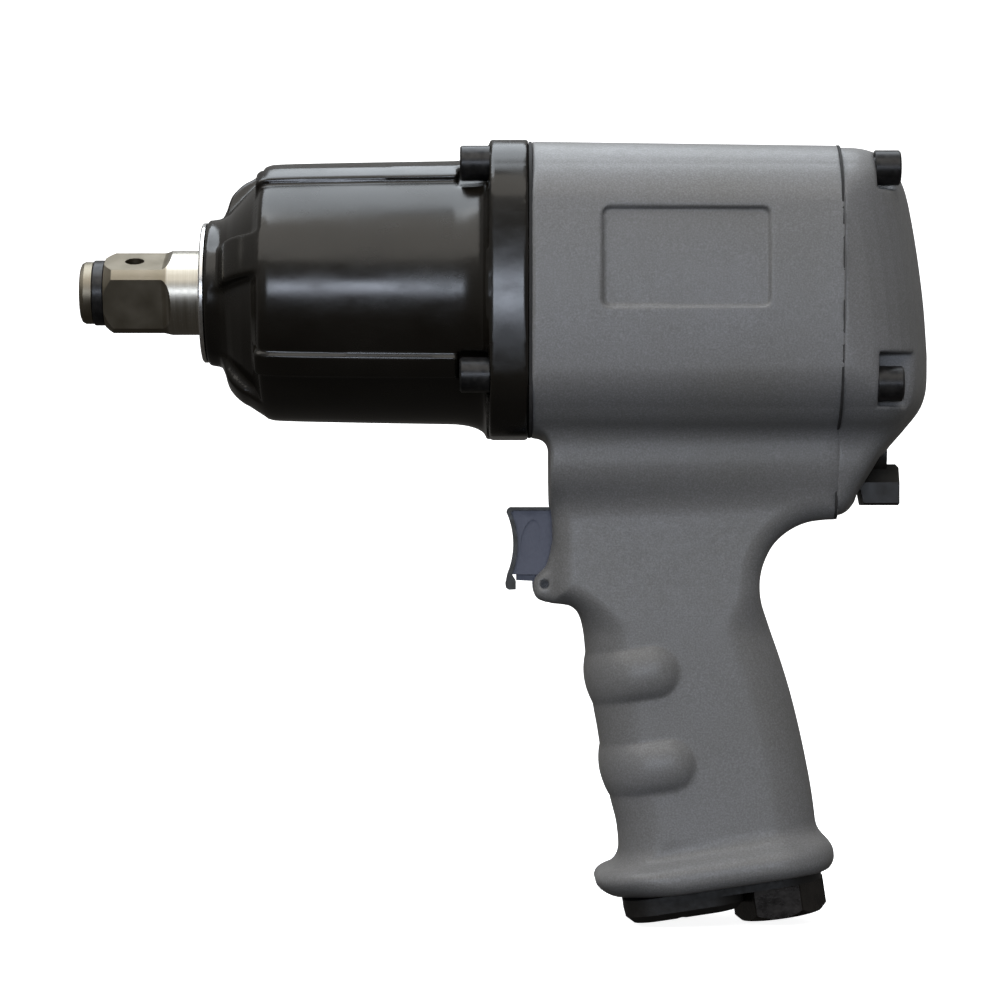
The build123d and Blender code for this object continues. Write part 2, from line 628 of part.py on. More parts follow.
def make_motor_housing():
    barrel = loft_x(HOUSING_X0, barrel_outline(BARREL_W0, BARREL_H0, CORNER_R),
                    HOUSING_X1, barrel_outline(BARREL_W1, BARREL_H1, CORNER_R))
    bulge = loft_x(NECK_X0, RectangleRounded(2 * BULGE_HALF0, BULGE_H, 11.0),
                   HOUSING_X1, RectangleRounded(2 * BULGE_HALF1, BULGE_H - 2, 11.0), BULGE_Z, BULGE_Z)
    body = barrel + bulge + neck_shape() + grip_shape() + lug_shape()
    body = body + rim_shape()
    for x0, x1, z in RIDGES:
        body = body + ridge_shape(x0, x1, z)
    x0, x1, z0, z1 = LABEL
    field = SIDE * Pos((x0 + x1) / 2, (z0 + z1) / 2) * RectangleRounded(x1 - x0, z1 - z0, 2.0)
    field = Pos(0, 4 - BARREL_W0 / 2, 0) * extrude(field, amount=8.0)
    field = field - block(x0 - 1, x1 + 1, LABEL_DEPTH + 1.3 - BARREL_W0 / 2, 10.0, z0 - 1, z1 + 1)
    body = body - field
    body = body - rod(HOUSING_X0 - 1, HOUSING_X1 + 1, MOTOR_R)
    body = body - rod(REVERSE_X0, HOUSING_X1 + 1, REVERSE_BUSH_R + FIT, 0, REVERSE_Z)
    for y, z in at_bolts(FRONT_BOLTS):
        body = body - rod(HOUSING_X0 - 1, FRONT_BOLT_X1 + 2, BOLT_R + RUN, y, z)
    for y, z in at_bolts(REAR_BOLTS):
        body = body - rod(REAR_BOLT_X0 - 2, HOUSING_X1 + 1, BOLT_R + RUN, y, z)
    # trigger slot and hinge pin hole
    body = body - block(118.0, SLOT_X1, -SLOT_HALF, SLOT_HALF, -79.0, TRIGGER_TOP + 1.0)
    body = body - block(118.0, HINGE_X + 6.0, -SLOT_HALF, SLOT_HALF, HINGE_Z - ARM_R - 0.5, -78.0)
    body = body - cross_rod(HINGE_X, HINGE_Z, HINGE_PIN_R + FIT, 30.0)
    # throttle chamber, feed and reverse duct
    body = body - rod(SLOT_X1 - 1, CHAMBER_X1, CHAMBER_R + FIT, 0, THROTTLE_Z)
    body = body - block(160.0, 168.0, -3.0, 3.0, THROTTLE_Z, REVERSE_Z)
    body = body - block(160.0, 190.0, -4.0, 4.0, REVERSE_Z, -26.0)
    body = body - inlet_duct()
    body = body - exhaust_ducts()
    # exhaust chamber, inlet seat and screw holes in the base
    u0, u1 = MUFFLER_U
    body = body - on_base(Pos((u0 + u1) / 2, 0, MUFFLER_H / 2) * Box(
        u1 - u0 + 2 * SLACK, MUFFLER_W + 2 * SLACK, MUFFLER_H + SLACK * 2))
    body = body - base_rod(INLET_U, 0, -1, INLET_SHANK_H + SCREEN_T, INLET_SHANK_R + RUN)
    for v in (-SCREW_UV[1], SCREW_UV[1]):
        body = body - base_rod(SCREW_UV[0], v, -1, 9.0, 2.0 + RUN)
    return body


def inlet_duct():
    """Passage from the air inlet up the rear of the grip to the throttle chamber."""
    start = on_base(Pos(INLET_U, 0, INLET_SHANK_H + SCREEN_T - 1)).position
    knee = Vector(180.5, 0, -86.0)
    end = Vector(CHAMBER_X1 - 6.0, 0, THROTTLE_Z)
    lower = straight_duct(start, knee, DUCT_R)
    upper = straight_duct(knee, end, DUCT_R - 0.5)
    return lower + upper + Pos(knee.X, knee.Y, knee.Z) * Sphere(DUCT_R)


def straight_duct(a, b, r):
    way = b - a
    plane = Plane(origin=a, z_dir=way)
    return extrude(plane * Circle(r), amount=way.length)


def exhaust_ducts():
    """Two passages past the throttle chamber that join in the front of the grip."""
    low = Vector(158.0, 0, -96.0)
    base_point = on_base(Pos(-10.0, 0, 6.0)).position
    ducts = straight_duct(low, base_point, DUCT_R)
    ducts = ducts + Pos(low.X, 0, low.Z) * Rot(90, 0, 0) * Cylinder(4.0, 2 * 13.8)
    for y in (-13.8, 13.8):
        ducts = ducts + straight_duct(Vector(158.0, y, -96.0), Vector(158.0, y, -24.0), 4.0)
        ducts = ducts + Pos(low.X, y, low.Z) * Sphere(4.0)
    return ducts


# ---------------------------------------------------------------- rear cap

def cap_section():
    """Outline of the rear seam in (y, z)."""
    barrel = barrel_outline(BARREL_W1, BARREL_H1, CORNER_R)
    top = -20.0
    bulge = Pos(0, BULGE_Z) * RectangleRounded(2 * BULGE_HALF1, BULGE_H - 2, 11.0)
    lower = Pos(0, (top + CHEST_Z) / 2) * RectangleRounded(2 * NECK_HALF, top - CHEST_Z, 5.0)
    return barrel + bulge + lower


def make_rear_gasket():
    pad = extrude(across(HOUSING_X1) * cap_section(), amount=CAP_X0 - HOUSING_X1)
    pad = pad - rod(HOUSING_X1 - 1, CAP_X0 + 1, MOTOR_R)
    pad = pad - rod(HOUSING_X1 - 1, CAP_X0 + 1, SPOOL_R + 1.0, 0, REVERSE_Z)
    for y, z in at_bolts(REAR_BOLTS):
        pad = pad - rod(HOUSING_X1 - 1, CAP_X0 + 1, BOLT_HOLE_R, y, z)
    return pad


def make_rear_cap():
    cap = extrude(across(CAP_X0) * cap_section(), amount=CAP_X1 + 2 - CAP_X0)
    top = BARREL_H1 / 2
    half = BARREL_W1 / 2
    side = side_slab(make_face(Polyline(
        (CAP_X0, top + 10.0), (CAP_X1 - 15.7, top + 10.0), (CAP_X1 - 15.7, top),
        (CAP_X1 - 12.0, top - 1.4), (CAP_X1 - 9.2, top - 5.4), (CAP_X1 - 7.8, top - 11.0),
        (CAP_X1 - 3.6, 6.0),
        (CAP_X1, -17.4), (CAP_X1 - 0.3, -26.0), (CAP_X1 - 2.2, -31.0), (CAP_X1 - 6.2, -36.6),
        (CAP_X1 - 12.8, -44.8), (CAP_X1 - 19.2, -53.4), (CAP_X1 - 23.0, -62.0), (CAP_X1 - 25.0, CHEST_Z),
        (CAP_X0, CHEST_Z - 6.0), close=True)), half + 20.0)
    plan = extrude(make_face(Polyline(
        (CAP_X0, half), (CAP_X1 - 14.5, half), (CAP_X1 - 7.5, half - 1.6), (CAP_X1 - 2.5, half - 5.5),
        (CAP_X1 + 1, half - 12.0), (CAP_X1 + 1, 12.0 - half), (CAP_X1 - 2.5, 5.5 - half),
        (CAP_X1 - 7.5, 1.6 - half), (CAP_X1 - 14.5, -half),
        (CAP_X0, -half), close=True)), amount=80.0, both=True)
    cap = cap & side & plan
    for y, z in at_bolts(REAR_BOLTS):
        out = 1 if y > 0 else -1
        cap = cap - rod(POCKET_X, CAP_X1 + 10, SPOTFACE_R, y, z)
        if z > 0:
            cap = cap - block(POCKET_X, CAP_X1 + 10, y - SPOTFACE_R, y + SPOTFACE_R, z, z + 20.0)
            cap = cap - block(POCKET_X, CAP_X1 + 10, min(y, y + out * 30), max(y, y + out * 30),
                              z - SPOTFACE_R, 60.0)
        else:
            cap = cap - block(POCKET_X, CAP_X1 + 10, min(y, y + out * 30), max(y, y + out * 30),
                              z - SPOTFACE_R + 0.6, z + SPOTFACE_R + 1.6)
        cap = cap - rod(CAP_X0 - 1, POCKET_X + 1, BOLT_HOLE_R, y, z)
    # inner hollow behind the motor, valve bore and lever recess
    cap = cap - rod(CAP_X0 - 1, CAP_X0 + 6.0, MOTOR_R - 3.0)
    cap = cap - rod(CAP_X0 - 1, CAP_X1 + 10, SPOOL_R + 0.15, 0, REVERSE_Z)
    cap = cap - rod(RECESS_X0, CAP_X1 + 10, HUB_R + 0.8, 0, REVERSE_Z)
    return cap - block(RECESS_X0, CAP_X1 + 10, -RECESS_HALF, RECESS_HALF, -80.0, REVERSE_Z - 1.5)


# ---------------------------------------------------------------- reverse valve

def make_reverse_bushing():
    bush = tube(REVERSE_X0, HOUSING_X1, REVERSE_BUSH_R, SPOOL_R + RUN, 0, REVERSE_Z)
    return bush - block(161.0, 188.0, -3.0, 3.0, REVERSE_Z, -30.0) - block(161.0, 167.0, -3.0, 3.0,
        -60.0, REVERSE_Z)


def make_reverse_spool():
    spool = rod(REVERSE_X0 + 1, RECESS_X0, SPOOL_R, 0, REVERSE_Z)
    spool = spool + rod(RECESS_X0, LEVER_HUB_X1, STEM_R, 0, REVERSE_Z)
    return spool - block(161.0, 188.0, -9.0, -3.0, REVERSE_Z - 9, REVERSE_Z + 9) - block(
        161.0, 188.0, 3.0, 9.0, REVERSE_Z - 9, REVERSE_Z + 9)


def make_reverse_lever():
    hub = tube(LEVER_X0, LEVER_HUB_X1, HUB_R, STEM_R + FIT, 0, REVERSE_Z)
    neck = block(LEVER_X0, LEVER_HUB_X1, -3.2, 3.2, REVERSE_Z - 6.5, REVERSE_Z - STEM_R - 0.6)
    top = REVERSE_Z - 3.4
    paddle = side_slab(make_face(Polyline(
        (LEVER_X0 + 1.6, top), (LEVER_X1 - 0.9, top), (LEVER_X1, top - 1.0), (LEVER_X1, top - 11.2),
        (LEVER_X1 - 0.4, top - 11.7), (LEVER_X0 + 1.2, top - 11.7), (LEVER_X0, top - 5.6),
        (LEVER_X0, top - 2.0), close=True)), LEVER_HALF + 1)
    shape = extrude(across(LEVER_X0 - 1) * make_face(Polyline(
        (-4.0, top + 0.1), (4.0, top + 0.1), (LEVER_HALF, top - 5.2), (LEVER_HALF, top - 11.0),
        (LEVER_HALF - 0.7, top - 11.8), (0.7 - LEVER_HALF, top - 11.8), (-LEVER_HALF, top - 11.0),
        (-LEVER_HALF, top - 5.2), close=True)), amount=16)
    paddle = (paddle & shape) - rod(LEVER_X0 - 1, LEVER_X1 + 1, STEM_R + FIT, 0, REVERSE_Z)
    return hub + neck + paddle


# ---------------------------------------------------------------- trigger and throttle valve

def plate_front():
    """Finger face of the trigger, top to bottom."""
    return ThreePointArc((121.2, -62.6), (123.15, -71.4), (121.5, -80.2))


def plate_back():
    t = PLATE_FRONT_T
    return ThreePointArc((121.2 + t, -62.6), (123.15 + t, -71.4), (121.5 + t, -80.2))


def make_trigger_plate():
    front = plate_front()
    back = plate_back()
    top = TRIGGER_TOP
    t = PLATE_FRONT_T
    head = Polyline((121.2, -62.6), (121.5, top - 0.5), (122.3, top), (134.0, top), (134.0, top - PLATE_T),
                    (122.0 + t, top - PLATE_T), (121.2 + t, -62.6))
    foot = Polyline((121.5, -80.2), (120.9, -83.0), (121.1, -84.0), (121.9, -84.5), (123.9, -84.4),
                    (123.9, -82.2), (121.5 + t, -80.2))
    face = make_face(front.edges() + foot.edges() + back.edges() + head.edges())
    return side_slab(face, PLATE_HALF)


def make_trigger_body():
    top = TRIGGER_TOP - PLATE_T
    t = PLATE_FRONT_T
    rest = Polyline((121.5 + t, -80.2), (130.0, -80.2), (136.0, -79.0), (136.0, -76.8), (134.6, -75.6),
                    (134.6, top), (122.0 + t, top), (121.2 + t, -62.6))
    face = make_face(plate_back().edges() + rest.edges())
    body = side_slab(face, TRIGGER_HALF)
    for way in (-1, 1):
        dish = Pos(128.0, way * (TRIGGER_HALF + 1.0), -70.2) * Rot(90, 0, 0) * Rot(0, 0, -12) * extrude(
            Ellipse(2.6, 5.6), amount=1.6, both=True)
        body = body - dish
    tongue = side_shape([(124.0, -80.1), (124.0, -81.9), (130.5, -82.2), (HINGE_X, HINGE_Z), (136.0, -79.2),
                         (130.0, -80.1)], TRIGGER_HALF - 3.0)
    body = body + tongue + cross_rod(HINGE_X, HINGE_Z, ARM_R, TRIGGER_HALF - 3.0)
    return body - cross_rod(HINGE_X, HINGE_Z, HINGE_PIN_R + RUN, 30.0)


def make_trigger_pin():
    pin = cross_rod(HINGE_X, HINGE_Z, HINGE_PIN_R, LUG_HALF - 1.5)
    for way in (-1, 1):
        mouth = Pos(0, way * (LUG_HALF - 1.5), 0) * cross_rod(HINGE_X, HINGE_Z, HINGE_PIN_R - 0.5, 3.0)
        pin = pin - mouth
    return pin


def make_throttle_bushing():
    return tube(SLOT_X1, GUIDE_X1, CHAMBER_R, THROTTLE_PIN_R + RUN, 0, THROTTLE_Z)


def make_throttle_pin():
    pin = rod(134.9, GUIDE_X1 + 0.2, THROTTLE_PIN_R, 0, THROTTLE_Z)
    return chamfer(pin.edges().filter_by(GeomType.CIRCLE).sort_by(Axis.X)[0], 0.5)


def make_throttle_valve():
    head = rod(GUIDE_X1 + 0.2, POPPET_X1, POPPET_R, 0, THROTTLE_Z)
    return head + rod(POPPET_X1, POPPET_X1 + 4.0, SPRING_R - SPRING_WIRE_R - 0.4, 0, THROTTLE_Z)


def make_throttle_spring():
    length = CHAMBER_X1 - POPPET_X1 - 2 * SPRING_WIRE_R - 0.2
    path = Helix(pitch=length / 5, height=length, radius=SPRING_R)
    wire = Plane(origin=path @ 0, z_dir=path % 0) * Circle(SPRING_WIRE_R)
    coil = sweep(wire, path=path)
    return Pos(POPPET_X1 + SPRING_WIRE_R + 0.1, 0, THROTTLE_Z) * Rot(0, 90, 0) * coil


# ---------------------------------------------------------------- base of the grip

def hex_prism(u, af, z0, z1, roll):
    face = Pos(u, 0, z0) * Rot(0, 0, roll) * RegularPolygon(af / 2, 6, major_radius=False)
    return extrude(face, amount=z1 - z0)


def make_inlet_bushing():
    low = HEX_TOP - HEX_H
    body = hex_prism(INLET_U, HEX_AF, low, HEX_TOP, HEX_ROLL)
    cone = Pos(INLET_U, 0, low + HEX_H / 2) * Cylinder(HEX_AF * 0.572, HEX_H)
    ends = cone.edges().filter_by(GeomType.CIRCLE).sort_by(Axis.Z)
    cone = chamfer(ends[0], 1.7)
    body = on_base(body & cone)
    body = body + base_rod(INLET_U, 0, HEX_TOP, INLET_SHANK_H, INLET_SHANK_R)
    body = body - base_rod(INLET_U, 0, low - 1, HEX_TOP, INLET_R)
    return body - base_rod(INLET_U, 0, HEX_TOP - 1, INLET_SHANK_H + 1, DUCT_R - 0.3)


def make_inlet_screen():
    disc = base_rod(INLET_U, 0, INLET_SHANK_H, INLET_SHANK_H + SCREEN_T, INLET_SHANK_R - 0.1)
    for i in range(-2, 3):
        for j in range(-2, 3):
            if i * i + j * j < 6:
                disc = disc - base_rod(INLET_U + i * 2.2, j * 2.2, INLET_SHANK_H - 1,
                    INLET_SHANK_H + 3, 0.75)
    return disc


def make_exhaust_plate():
    hex_r = HEX_AF * 0.572
    foot_u1 = INLET_U - hex_r + 2.6
    foot = Pos((PLATE_U0 + foot_u1) / 2, 0, -EXHAUST_T) * extrude(
        RectangleRounded(foot_u1 - PLATE_U0, EXHAUST_W, 9.0), amount=EXHAUST_T)
    foot = chamfer(foot.edges().group_by(Axis.Z)[0], 2.0)
    flange = Pos((PLATE_U0 + PLATE_U1) / 2, 0, HEX_TOP) * extrude(
        RectangleRounded(PLATE_U1 - PLATE_U0, EXHAUST_W, 12.0), amount=-HEX_TOP)
    around = Pos(INLET_U, 0, HEX_TOP - EXHAUST_T) * Cylinder(hex_r + 0.6, 2 * EXHAUST_T)
    plate = (foot - around) + flange
    plate = plate - Pos(INLET_U, 0, -3) * Cylinder(INLET_SHANK_R + 0.1, 20)
    for u in (-18.5, -15.0, -8.0, -4.5):
        plate = plate - Pos(u, 0, -3) * Box(1.8, 14.0, 20)
    plate = on_base(plate)
    for v in (-SCREW_UV[1], SCREW_UV[1]):
        plate = plate - base_rod(SCREW_UV[0], v, -20, 1, 2.2)
        plate = plate - base_rod(SCREW_UV[0], v, -20, 3.4 - EXHAUST_T, 3.7)
    return plate


def make_exhaust_screws():
    screws = []
    for v in (-SCREW_UV[1], SCREW_UV[1]):
        screw = base_rod(SCREW_UV[0], v, 0.6 - EXHAUST_T, 3.4 - EXHAUST_T, 3.5)
        screw = screw + base_rod(SCREW_UV[0], v, 3.4 - EXHAUST_T, 8.0, 2.0)
        key = hex_prism(0, 2.5, -EXHAUST_T, 2.2 - EXHAUST_T, 0)
        screws.append(screw - on_base(Pos(SCREW_UV[0], v, 0) * key))
    return group(screws)


def make_exhaust_muffler():
    u0, u1 = MUFFLER_U
    pad = Pos((u0 + u1) / 2, 0, MUFFLER_H / 2) * Box(u1 - u0, MUFFLER_W, MUFFLER_H)
    return on_base(pad)


PARTS = {
    "anvil": make_anvil,
    "friction_ring": make_friction_ring,
    "retainer_oring": make_retainer_oring,
    "hammer_case": make_hammer_case,
    "anvil_bushing": make_anvil_bushing,
    "thrust_washer": make_thrust_washer,
    "front_gasket": make_front_gasket,
    "front_bolts": make_front_bolts,
    "front_lock_washers": make_front_lock_washers,
    "rear_bolts": make_rear_bolts,
    "rear_lock_washers": make_rear_lock_washers,
    "hammer_cage": make_hammer_cage,
    "hammer_pins": make_hammer_pins,
    "front_hammer": make_front_hammer,
    "rear_hammer": make_rear_hammer,
    "front_end_plate": make_front_end_plate,
    "rear_end_plate": make_rear_end_plate,
    "cylinder_liner": make_cylinder_liner,
    "liner_dowel": make_liner_dowel,
    "rotor": make_rotor,
    "vanes": make_vanes,
    "front_outer_race": lambda: make_outer_race(BEARING_X[0]),
    "front_inner_race": lambda: make_inner_race(BEARING_X[0]),
    "front_balls": lambda: make_balls(BEARING_X[0]),
    "rear_outer_race": lambda: make_outer_race(BEARING_X[1]),
    "rear_inner_race": lambda: make_inner_race(BEARING_X[1]),
    "rear_balls": lambda: make_balls(BEARING_X[1]),
    "motor_housing": make_motor_housing,
    "rear_gasket": make_rear_gasket,
    "rear_cap": make_rear_cap,
    "reverse_bushing": make_reverse_bushing,
    "reverse_spool": make_reverse_spool,
    "reverse_lever": make_reverse_lever,
    "trigger_plate": make_trigger_plate,
    "trigger_body": make_trigger_body,
    "trigger_pin": make_trigger_pin,
    "throttle_bushing": make_throttle_bushing,
    "throttle_pin": make_throttle_pin,
    "throttle_valve": make_throttle_valve,
    "throttle_spring": make_throttle_spring,
    "inlet_bushing": make_inlet_bushing,
    "inlet_screen": make_inlet_screen,
    "exhaust_plate": make_exhaust_plate,
    "exhaust_screws": make_exhaust_screws,
    "exhaust_muffler": make_exhaust_muffler,
}

os.makedirs("parts", exist_ok=True)
for name, make in PARTS.items():
    shape = make()
    export_step(shape, "parts/" + name + ".step")
    print(name, len(shape.solids()), round(shape.volume))
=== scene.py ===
import json
import math

import bpy
import numpy as np
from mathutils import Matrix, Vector


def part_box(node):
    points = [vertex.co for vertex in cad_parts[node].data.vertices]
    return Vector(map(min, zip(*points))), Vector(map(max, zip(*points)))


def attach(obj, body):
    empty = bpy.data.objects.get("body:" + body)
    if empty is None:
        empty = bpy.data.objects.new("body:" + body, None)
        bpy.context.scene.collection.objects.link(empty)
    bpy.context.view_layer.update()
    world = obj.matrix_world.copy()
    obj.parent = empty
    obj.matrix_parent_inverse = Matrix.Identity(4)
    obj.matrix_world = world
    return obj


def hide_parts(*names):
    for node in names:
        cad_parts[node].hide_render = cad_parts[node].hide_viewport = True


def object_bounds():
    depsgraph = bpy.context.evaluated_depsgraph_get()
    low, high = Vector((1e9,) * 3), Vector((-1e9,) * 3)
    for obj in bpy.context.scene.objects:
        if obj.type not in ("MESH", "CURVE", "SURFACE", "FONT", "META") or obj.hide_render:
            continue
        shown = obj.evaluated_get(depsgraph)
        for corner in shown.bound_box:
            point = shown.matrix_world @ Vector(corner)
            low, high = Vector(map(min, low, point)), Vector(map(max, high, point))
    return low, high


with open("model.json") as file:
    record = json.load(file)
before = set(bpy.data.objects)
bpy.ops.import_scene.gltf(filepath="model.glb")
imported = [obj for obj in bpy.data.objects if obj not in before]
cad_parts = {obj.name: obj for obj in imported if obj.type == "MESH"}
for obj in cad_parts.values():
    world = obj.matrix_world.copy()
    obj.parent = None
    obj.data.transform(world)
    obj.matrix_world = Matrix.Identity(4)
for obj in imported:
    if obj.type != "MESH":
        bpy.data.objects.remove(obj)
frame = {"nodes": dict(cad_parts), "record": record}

MM = 0.001
CAD_BOX = [list(p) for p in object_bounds()]


def span(node):
    """Lowest and highest corner of a CAD node, in millimetres."""
    low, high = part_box(node)
    return np.array(low) * 1000.0, np.array(high) * 1000.0


# ------------------------------------------------------------------ distance fields (millimetres)

def smin(a, b, k):
    """Union of two fields, blended over k."""
    h = np.clip(0.5 + 0.5 * (b - a) / k, 0.0, 1.0)
    return b + (a - b) * h - k * h * (1.0 - h)


def smax(a, b, k):
    """Common part of two fields, blended over k."""
    return -smin(-a, -b, k)


def cut(body, *walls):
    """The body less the hollow where all the walls are negative."""
    hollow = walls[0]
    for wall in walls[1:]:
        hollow = np.maximum(hollow, wall)
    return np.maximum(body, -hollow)


def ramp(t, t0, t1, a, b):
    """The value a before t0 and b after t1, smooth between."""
    s = np.clip((t - t0) / (t1 - t0), 0.0, 1.0)
    s = s * s * (3.0 - 2.0 * s)
    return a + (b - a) * s


def extruded(flat, t, r):
    """Two distances, a flat outline and a slab, joined with edge radius r."""
    a = flat + r
    b = t + r
    outside = np.hypot(np.maximum(a, 0.0), np.maximum(b, 0.0))
    return np.minimum(np.maximum(a, b), 0.0) + outside - r


def rect(u, v, hu, hv, r):
    """Rectangle of half sizes hu and hv with corner radius r."""
    return extruded(np.abs(u) - hu, np.abs(v) - hv, r)


def polygon(u, v, points):
    """Signed distance to a closed outline."""
    pts = np.asarray(points, dtype=float)
    u, v = np.broadcast_arrays(u, v)
    best = np.full(u.shape, 1e18)
    inside = np.zeros(u.shape, dtype=bool)
    for (ax, ay), (bx, by) in zip(pts, np.roll(pts, -1, axis=0)):
        ex, ey = bx - ax, by - ay
        wx, wy = u - ax, v - ay
        t = np.clip((wx * ex + wy * ey) / (ex * ex + ey * ey), 0.0, 1.0)
        dx, dy = wx - ex * t, wy - ey * t
        best = np.minimum(best, dx * dx + dy * dy)
        if ay != by:
            crosses = ((ay > v) != (by > v)) & (u < ax + (v - ay) * ex / (by - ay))
            inside ^= crosses
    return np.where(inside, -1.0, 1.0) * np.sqrt(best)


def curve_through(points, steps=6):
    """Smooth open curve (Catmull-Rom) through the points."""
    p = [np.array(q, dtype=float) for q in points]
    p = [2 * p[0] - p[1]] + p + [2 * p[-1] - p[-2]]
    out = []
    for i in range(1, len(p) - 2):
        for s in range(steps):
            t = s / steps
            out.append(0.5 * (2 * p[i] + (p[i + 1] - p[i - 1]) * t
                              + (2 * p[i - 1] - 5 * p[i] + 4 * p[i + 1] - p[i + 2]) * t * t
                              + (3 * p[i] - p[i - 1] - 3 * p[i + 1] + p[i + 2]) * t ** 3))
    out.append(p[-2])
    return [tuple(q) for q in out]


# ------------------------------------------------------------------ surface from a field

CORNERS = [(i, j, k) for i in (0, 1) for j in (0, 1) for k in (0, 1)]
SNAP_PASSES = 3
SLOPE_STEP = 0.04
LONGEST_MOVE = 0.6  # of a grid step, in one pass


def surface(name, field, low, high, step):
    """Mesh object of the field's zero surface inside the box from low to high."""
    axes = [np.arange(low[i], high[i] + step, step) for i in range(3)]
    v = np.broadcast_to(
        field(axes[0][:, None, None], axes[1][None, :, None], axes[2][None, None, :]),
        tuple(len(a) for a in axes),
    ).astype(np.float32)
    # the cells that the surface passes through
    neg = v < 0
    shape = tuple(n - 1 for n in neg.shape)
    total = np.zeros(shape, dtype=np.uint8)
    for i, j, k in CORNERS:
        total += neg[i:i + shape[0], j:j + shape[1], k:k + shape[2]]
    active = (total > 0) & (total < 8)
    cells = np.argwhere(active)
    index = np.full(shape, -1, dtype=np.int64)
    index[active] = np.arange(len(cells))
    corner = {}
    for i, j, k in CORNERS:
        corner[i, j, k] = v[cells[:, 0] + i, cells[:, 1] + j, cells[:, 2] + k]
    # one vertex for each cell, at the mean of its edges' crossings
    total_p = np.zeros((len(cells), 3))
    count = np.zeros(len(cells))
    for a in CORNERS:
        for b in CORNERS:
            if b > a and sum(x != y for x, y in zip(a, b)) == 1:
                va, vb = corner[a], corner[b]
                crossed = (va < 0) != (vb < 0)
                t = np.where(crossed, va / np.where(crossed, va - vb, 1.0), 0.0)[:, None]
                place = np.array(a) + (np.array(b) - np.array(a)) * t
                total_p += np.where(crossed[:, None], place, 0.0)
                count += crossed
    p = np.array([axes[i][0] for i in range(3)]) + (cells + total_p / count[:, None]) * step
    # then moved onto the surface, along the field's slope
    for _ in range(SNAP_PASSES):
        h = SLOPE_STEP
        f = field(p[:, 0], p[:, 1], p[:, 2])
        g = np.stack([
            field(p[:, 0] + h, p[:, 1], p[:, 2]) - field(p[:, 0] - h, p[:, 1], p[:, 2]),
            field(p[:, 0], p[:, 1] + h, p[:, 2]) - field(p[:, 0], p[:, 1] - h, p[:, 2]),
            field(p[:, 0], p[:, 1], p[:, 2] + h) - field(p[:, 0], p[:, 1], p[:, 2] - h),
        ], axis=1) / (2 * h)
        move = g * (f / np.maximum((g * g).sum(axis=1), 0.2))[:, None]
        size = np.linalg.norm(move, axis=1)
        move *= np.minimum(1.0, LONGEST_MOVE * step / np.maximum(size, 1e-9))[:, None]
        p = p - move
    # one face for each grid edge that crosses the surface
    faces = []
    for ax in range(3):
        o1, o2 = [i for i in range(3) if i != ax]
        lo = [slice(None)] * 3
        hi = [slice(None)] * 3
        lo[ax] = slice(None, -1)
        hi[ax] = slice(1, None)
        a, b = neg[tuple(lo)], neg[tuple(hi)]
        at = np.argwhere(a != b)
        keep = (at[:, o1] > 0) & (at[:, o2] > 0)
        keep &= (at[:, o1] < index.shape[o1]) & (at[:, o2] < index.shape[o2])
        at = at[keep]
        quad = []
        for d1, d2 in ((0, 0), (-1, 0), (-1, -1), (0, -1)):
            q = at.copy()
            q[:, o1] += d1
            q[:, o2] += d2
            quad.append(index[q[:, 0], q[:, 1], q[:, 2]])
        quad = np.stack(quad, axis=1)
        flip = a[at[:, 0], at[:, 1], at[:, 2]]
        if ax == 1:
            flip = ~flip
        quad[~flip] = quad[~flip][:, ::-1]
        faces.append(quad)
    faces = np.concatenate(faces)
    mesh = bpy.data.meshes.new(name)
    mesh.vertices.add(len(p))
    mesh.vertices.foreach_set("co", (p * MM).ravel())
    mesh.loops.add(faces.size)
    mesh.loops.foreach_set("vertex_index", faces.ravel().astype(np.int32))
    mesh.polygons.add(len(faces))
    mesh.polygons.foreach_set("loop_start", np.arange(0, faces.size, 4, dtype=np.int32))
    mesh.polygons.foreach_set("use_smooth", np.ones(len(faces), dtype=bool))
    mesh.update(calc_edges=True)
    mesh.validate()
    obj = bpy.data.objects.new(name, mesh)
    bpy.context.scene.collection.objects.link(obj)
    return obj


# ------------------------------------------------------------------ sizes read from the frame

H0, H1 = span("motor_housing")
C0, C1 = span("hammer_case")
R0, R1 = span("rear_cap")
FRONT_HEAD_X = span("front_bolts")[0][0]
FLANGE_X = span("front_lock_washers")[1][0]
BARREL_TOP = C1[2] - 0.5
BARREL_HALF = C1[1]
SEAM_X = R0[0]
SHANK_X = C0[0] - 10.8
POCKET_X = span("rear_lock_washers")[0][0]
LEVER_X = span("reverse_lever")[0][0]

# ------------------------------------------------------------------ housing

CORNER_R = 17.0
CROWN = 2.6
REAR_IN, REAR_DOWN = 0.7, 1.1  # how much narrower and lower the barrel is at its rear
BULGE_Z = 46.0  # below the drive axis, like the next two
REVERSE_Z = 45.5
THROTTLE_Z = 70.0
NECK_FRONT_X = 133.4
TILT = math.radians(8.5)
BASE_X, BASE_Z = 181.0, -168.1
MOTOR_R = 30.1
SLOT_HALF = 10.5
INLET_U = 17.2
SCREW_U, SCREW_V = -11.7, 13.0
HINGE_X, HINGE_Z = 131.9, -82.8
RIDGES = ((136.0, 169.6, -108.8), (140.5, 174.2, -134.8))  # front, back and middle height
RIDGE_HALF = 7.2
FRONT_BOLTS = ((26.0, 34.5), (33.5, -24.6))
REAR_BOLTS = ((26.0, 33.2), (33.0, -27.0))
SEAT_R = 6.3


def base_coords(x, z):
    """Along and square to the grip's base plane."""
    u = (x - BASE_X) * math.cos(TILT) + (z - BASE_Z) * math.sin(TILT)
    w = -(x - BASE_X) * math.sin(TILT) + (z - BASE_Z) * math.cos(TILT)
    return u, w


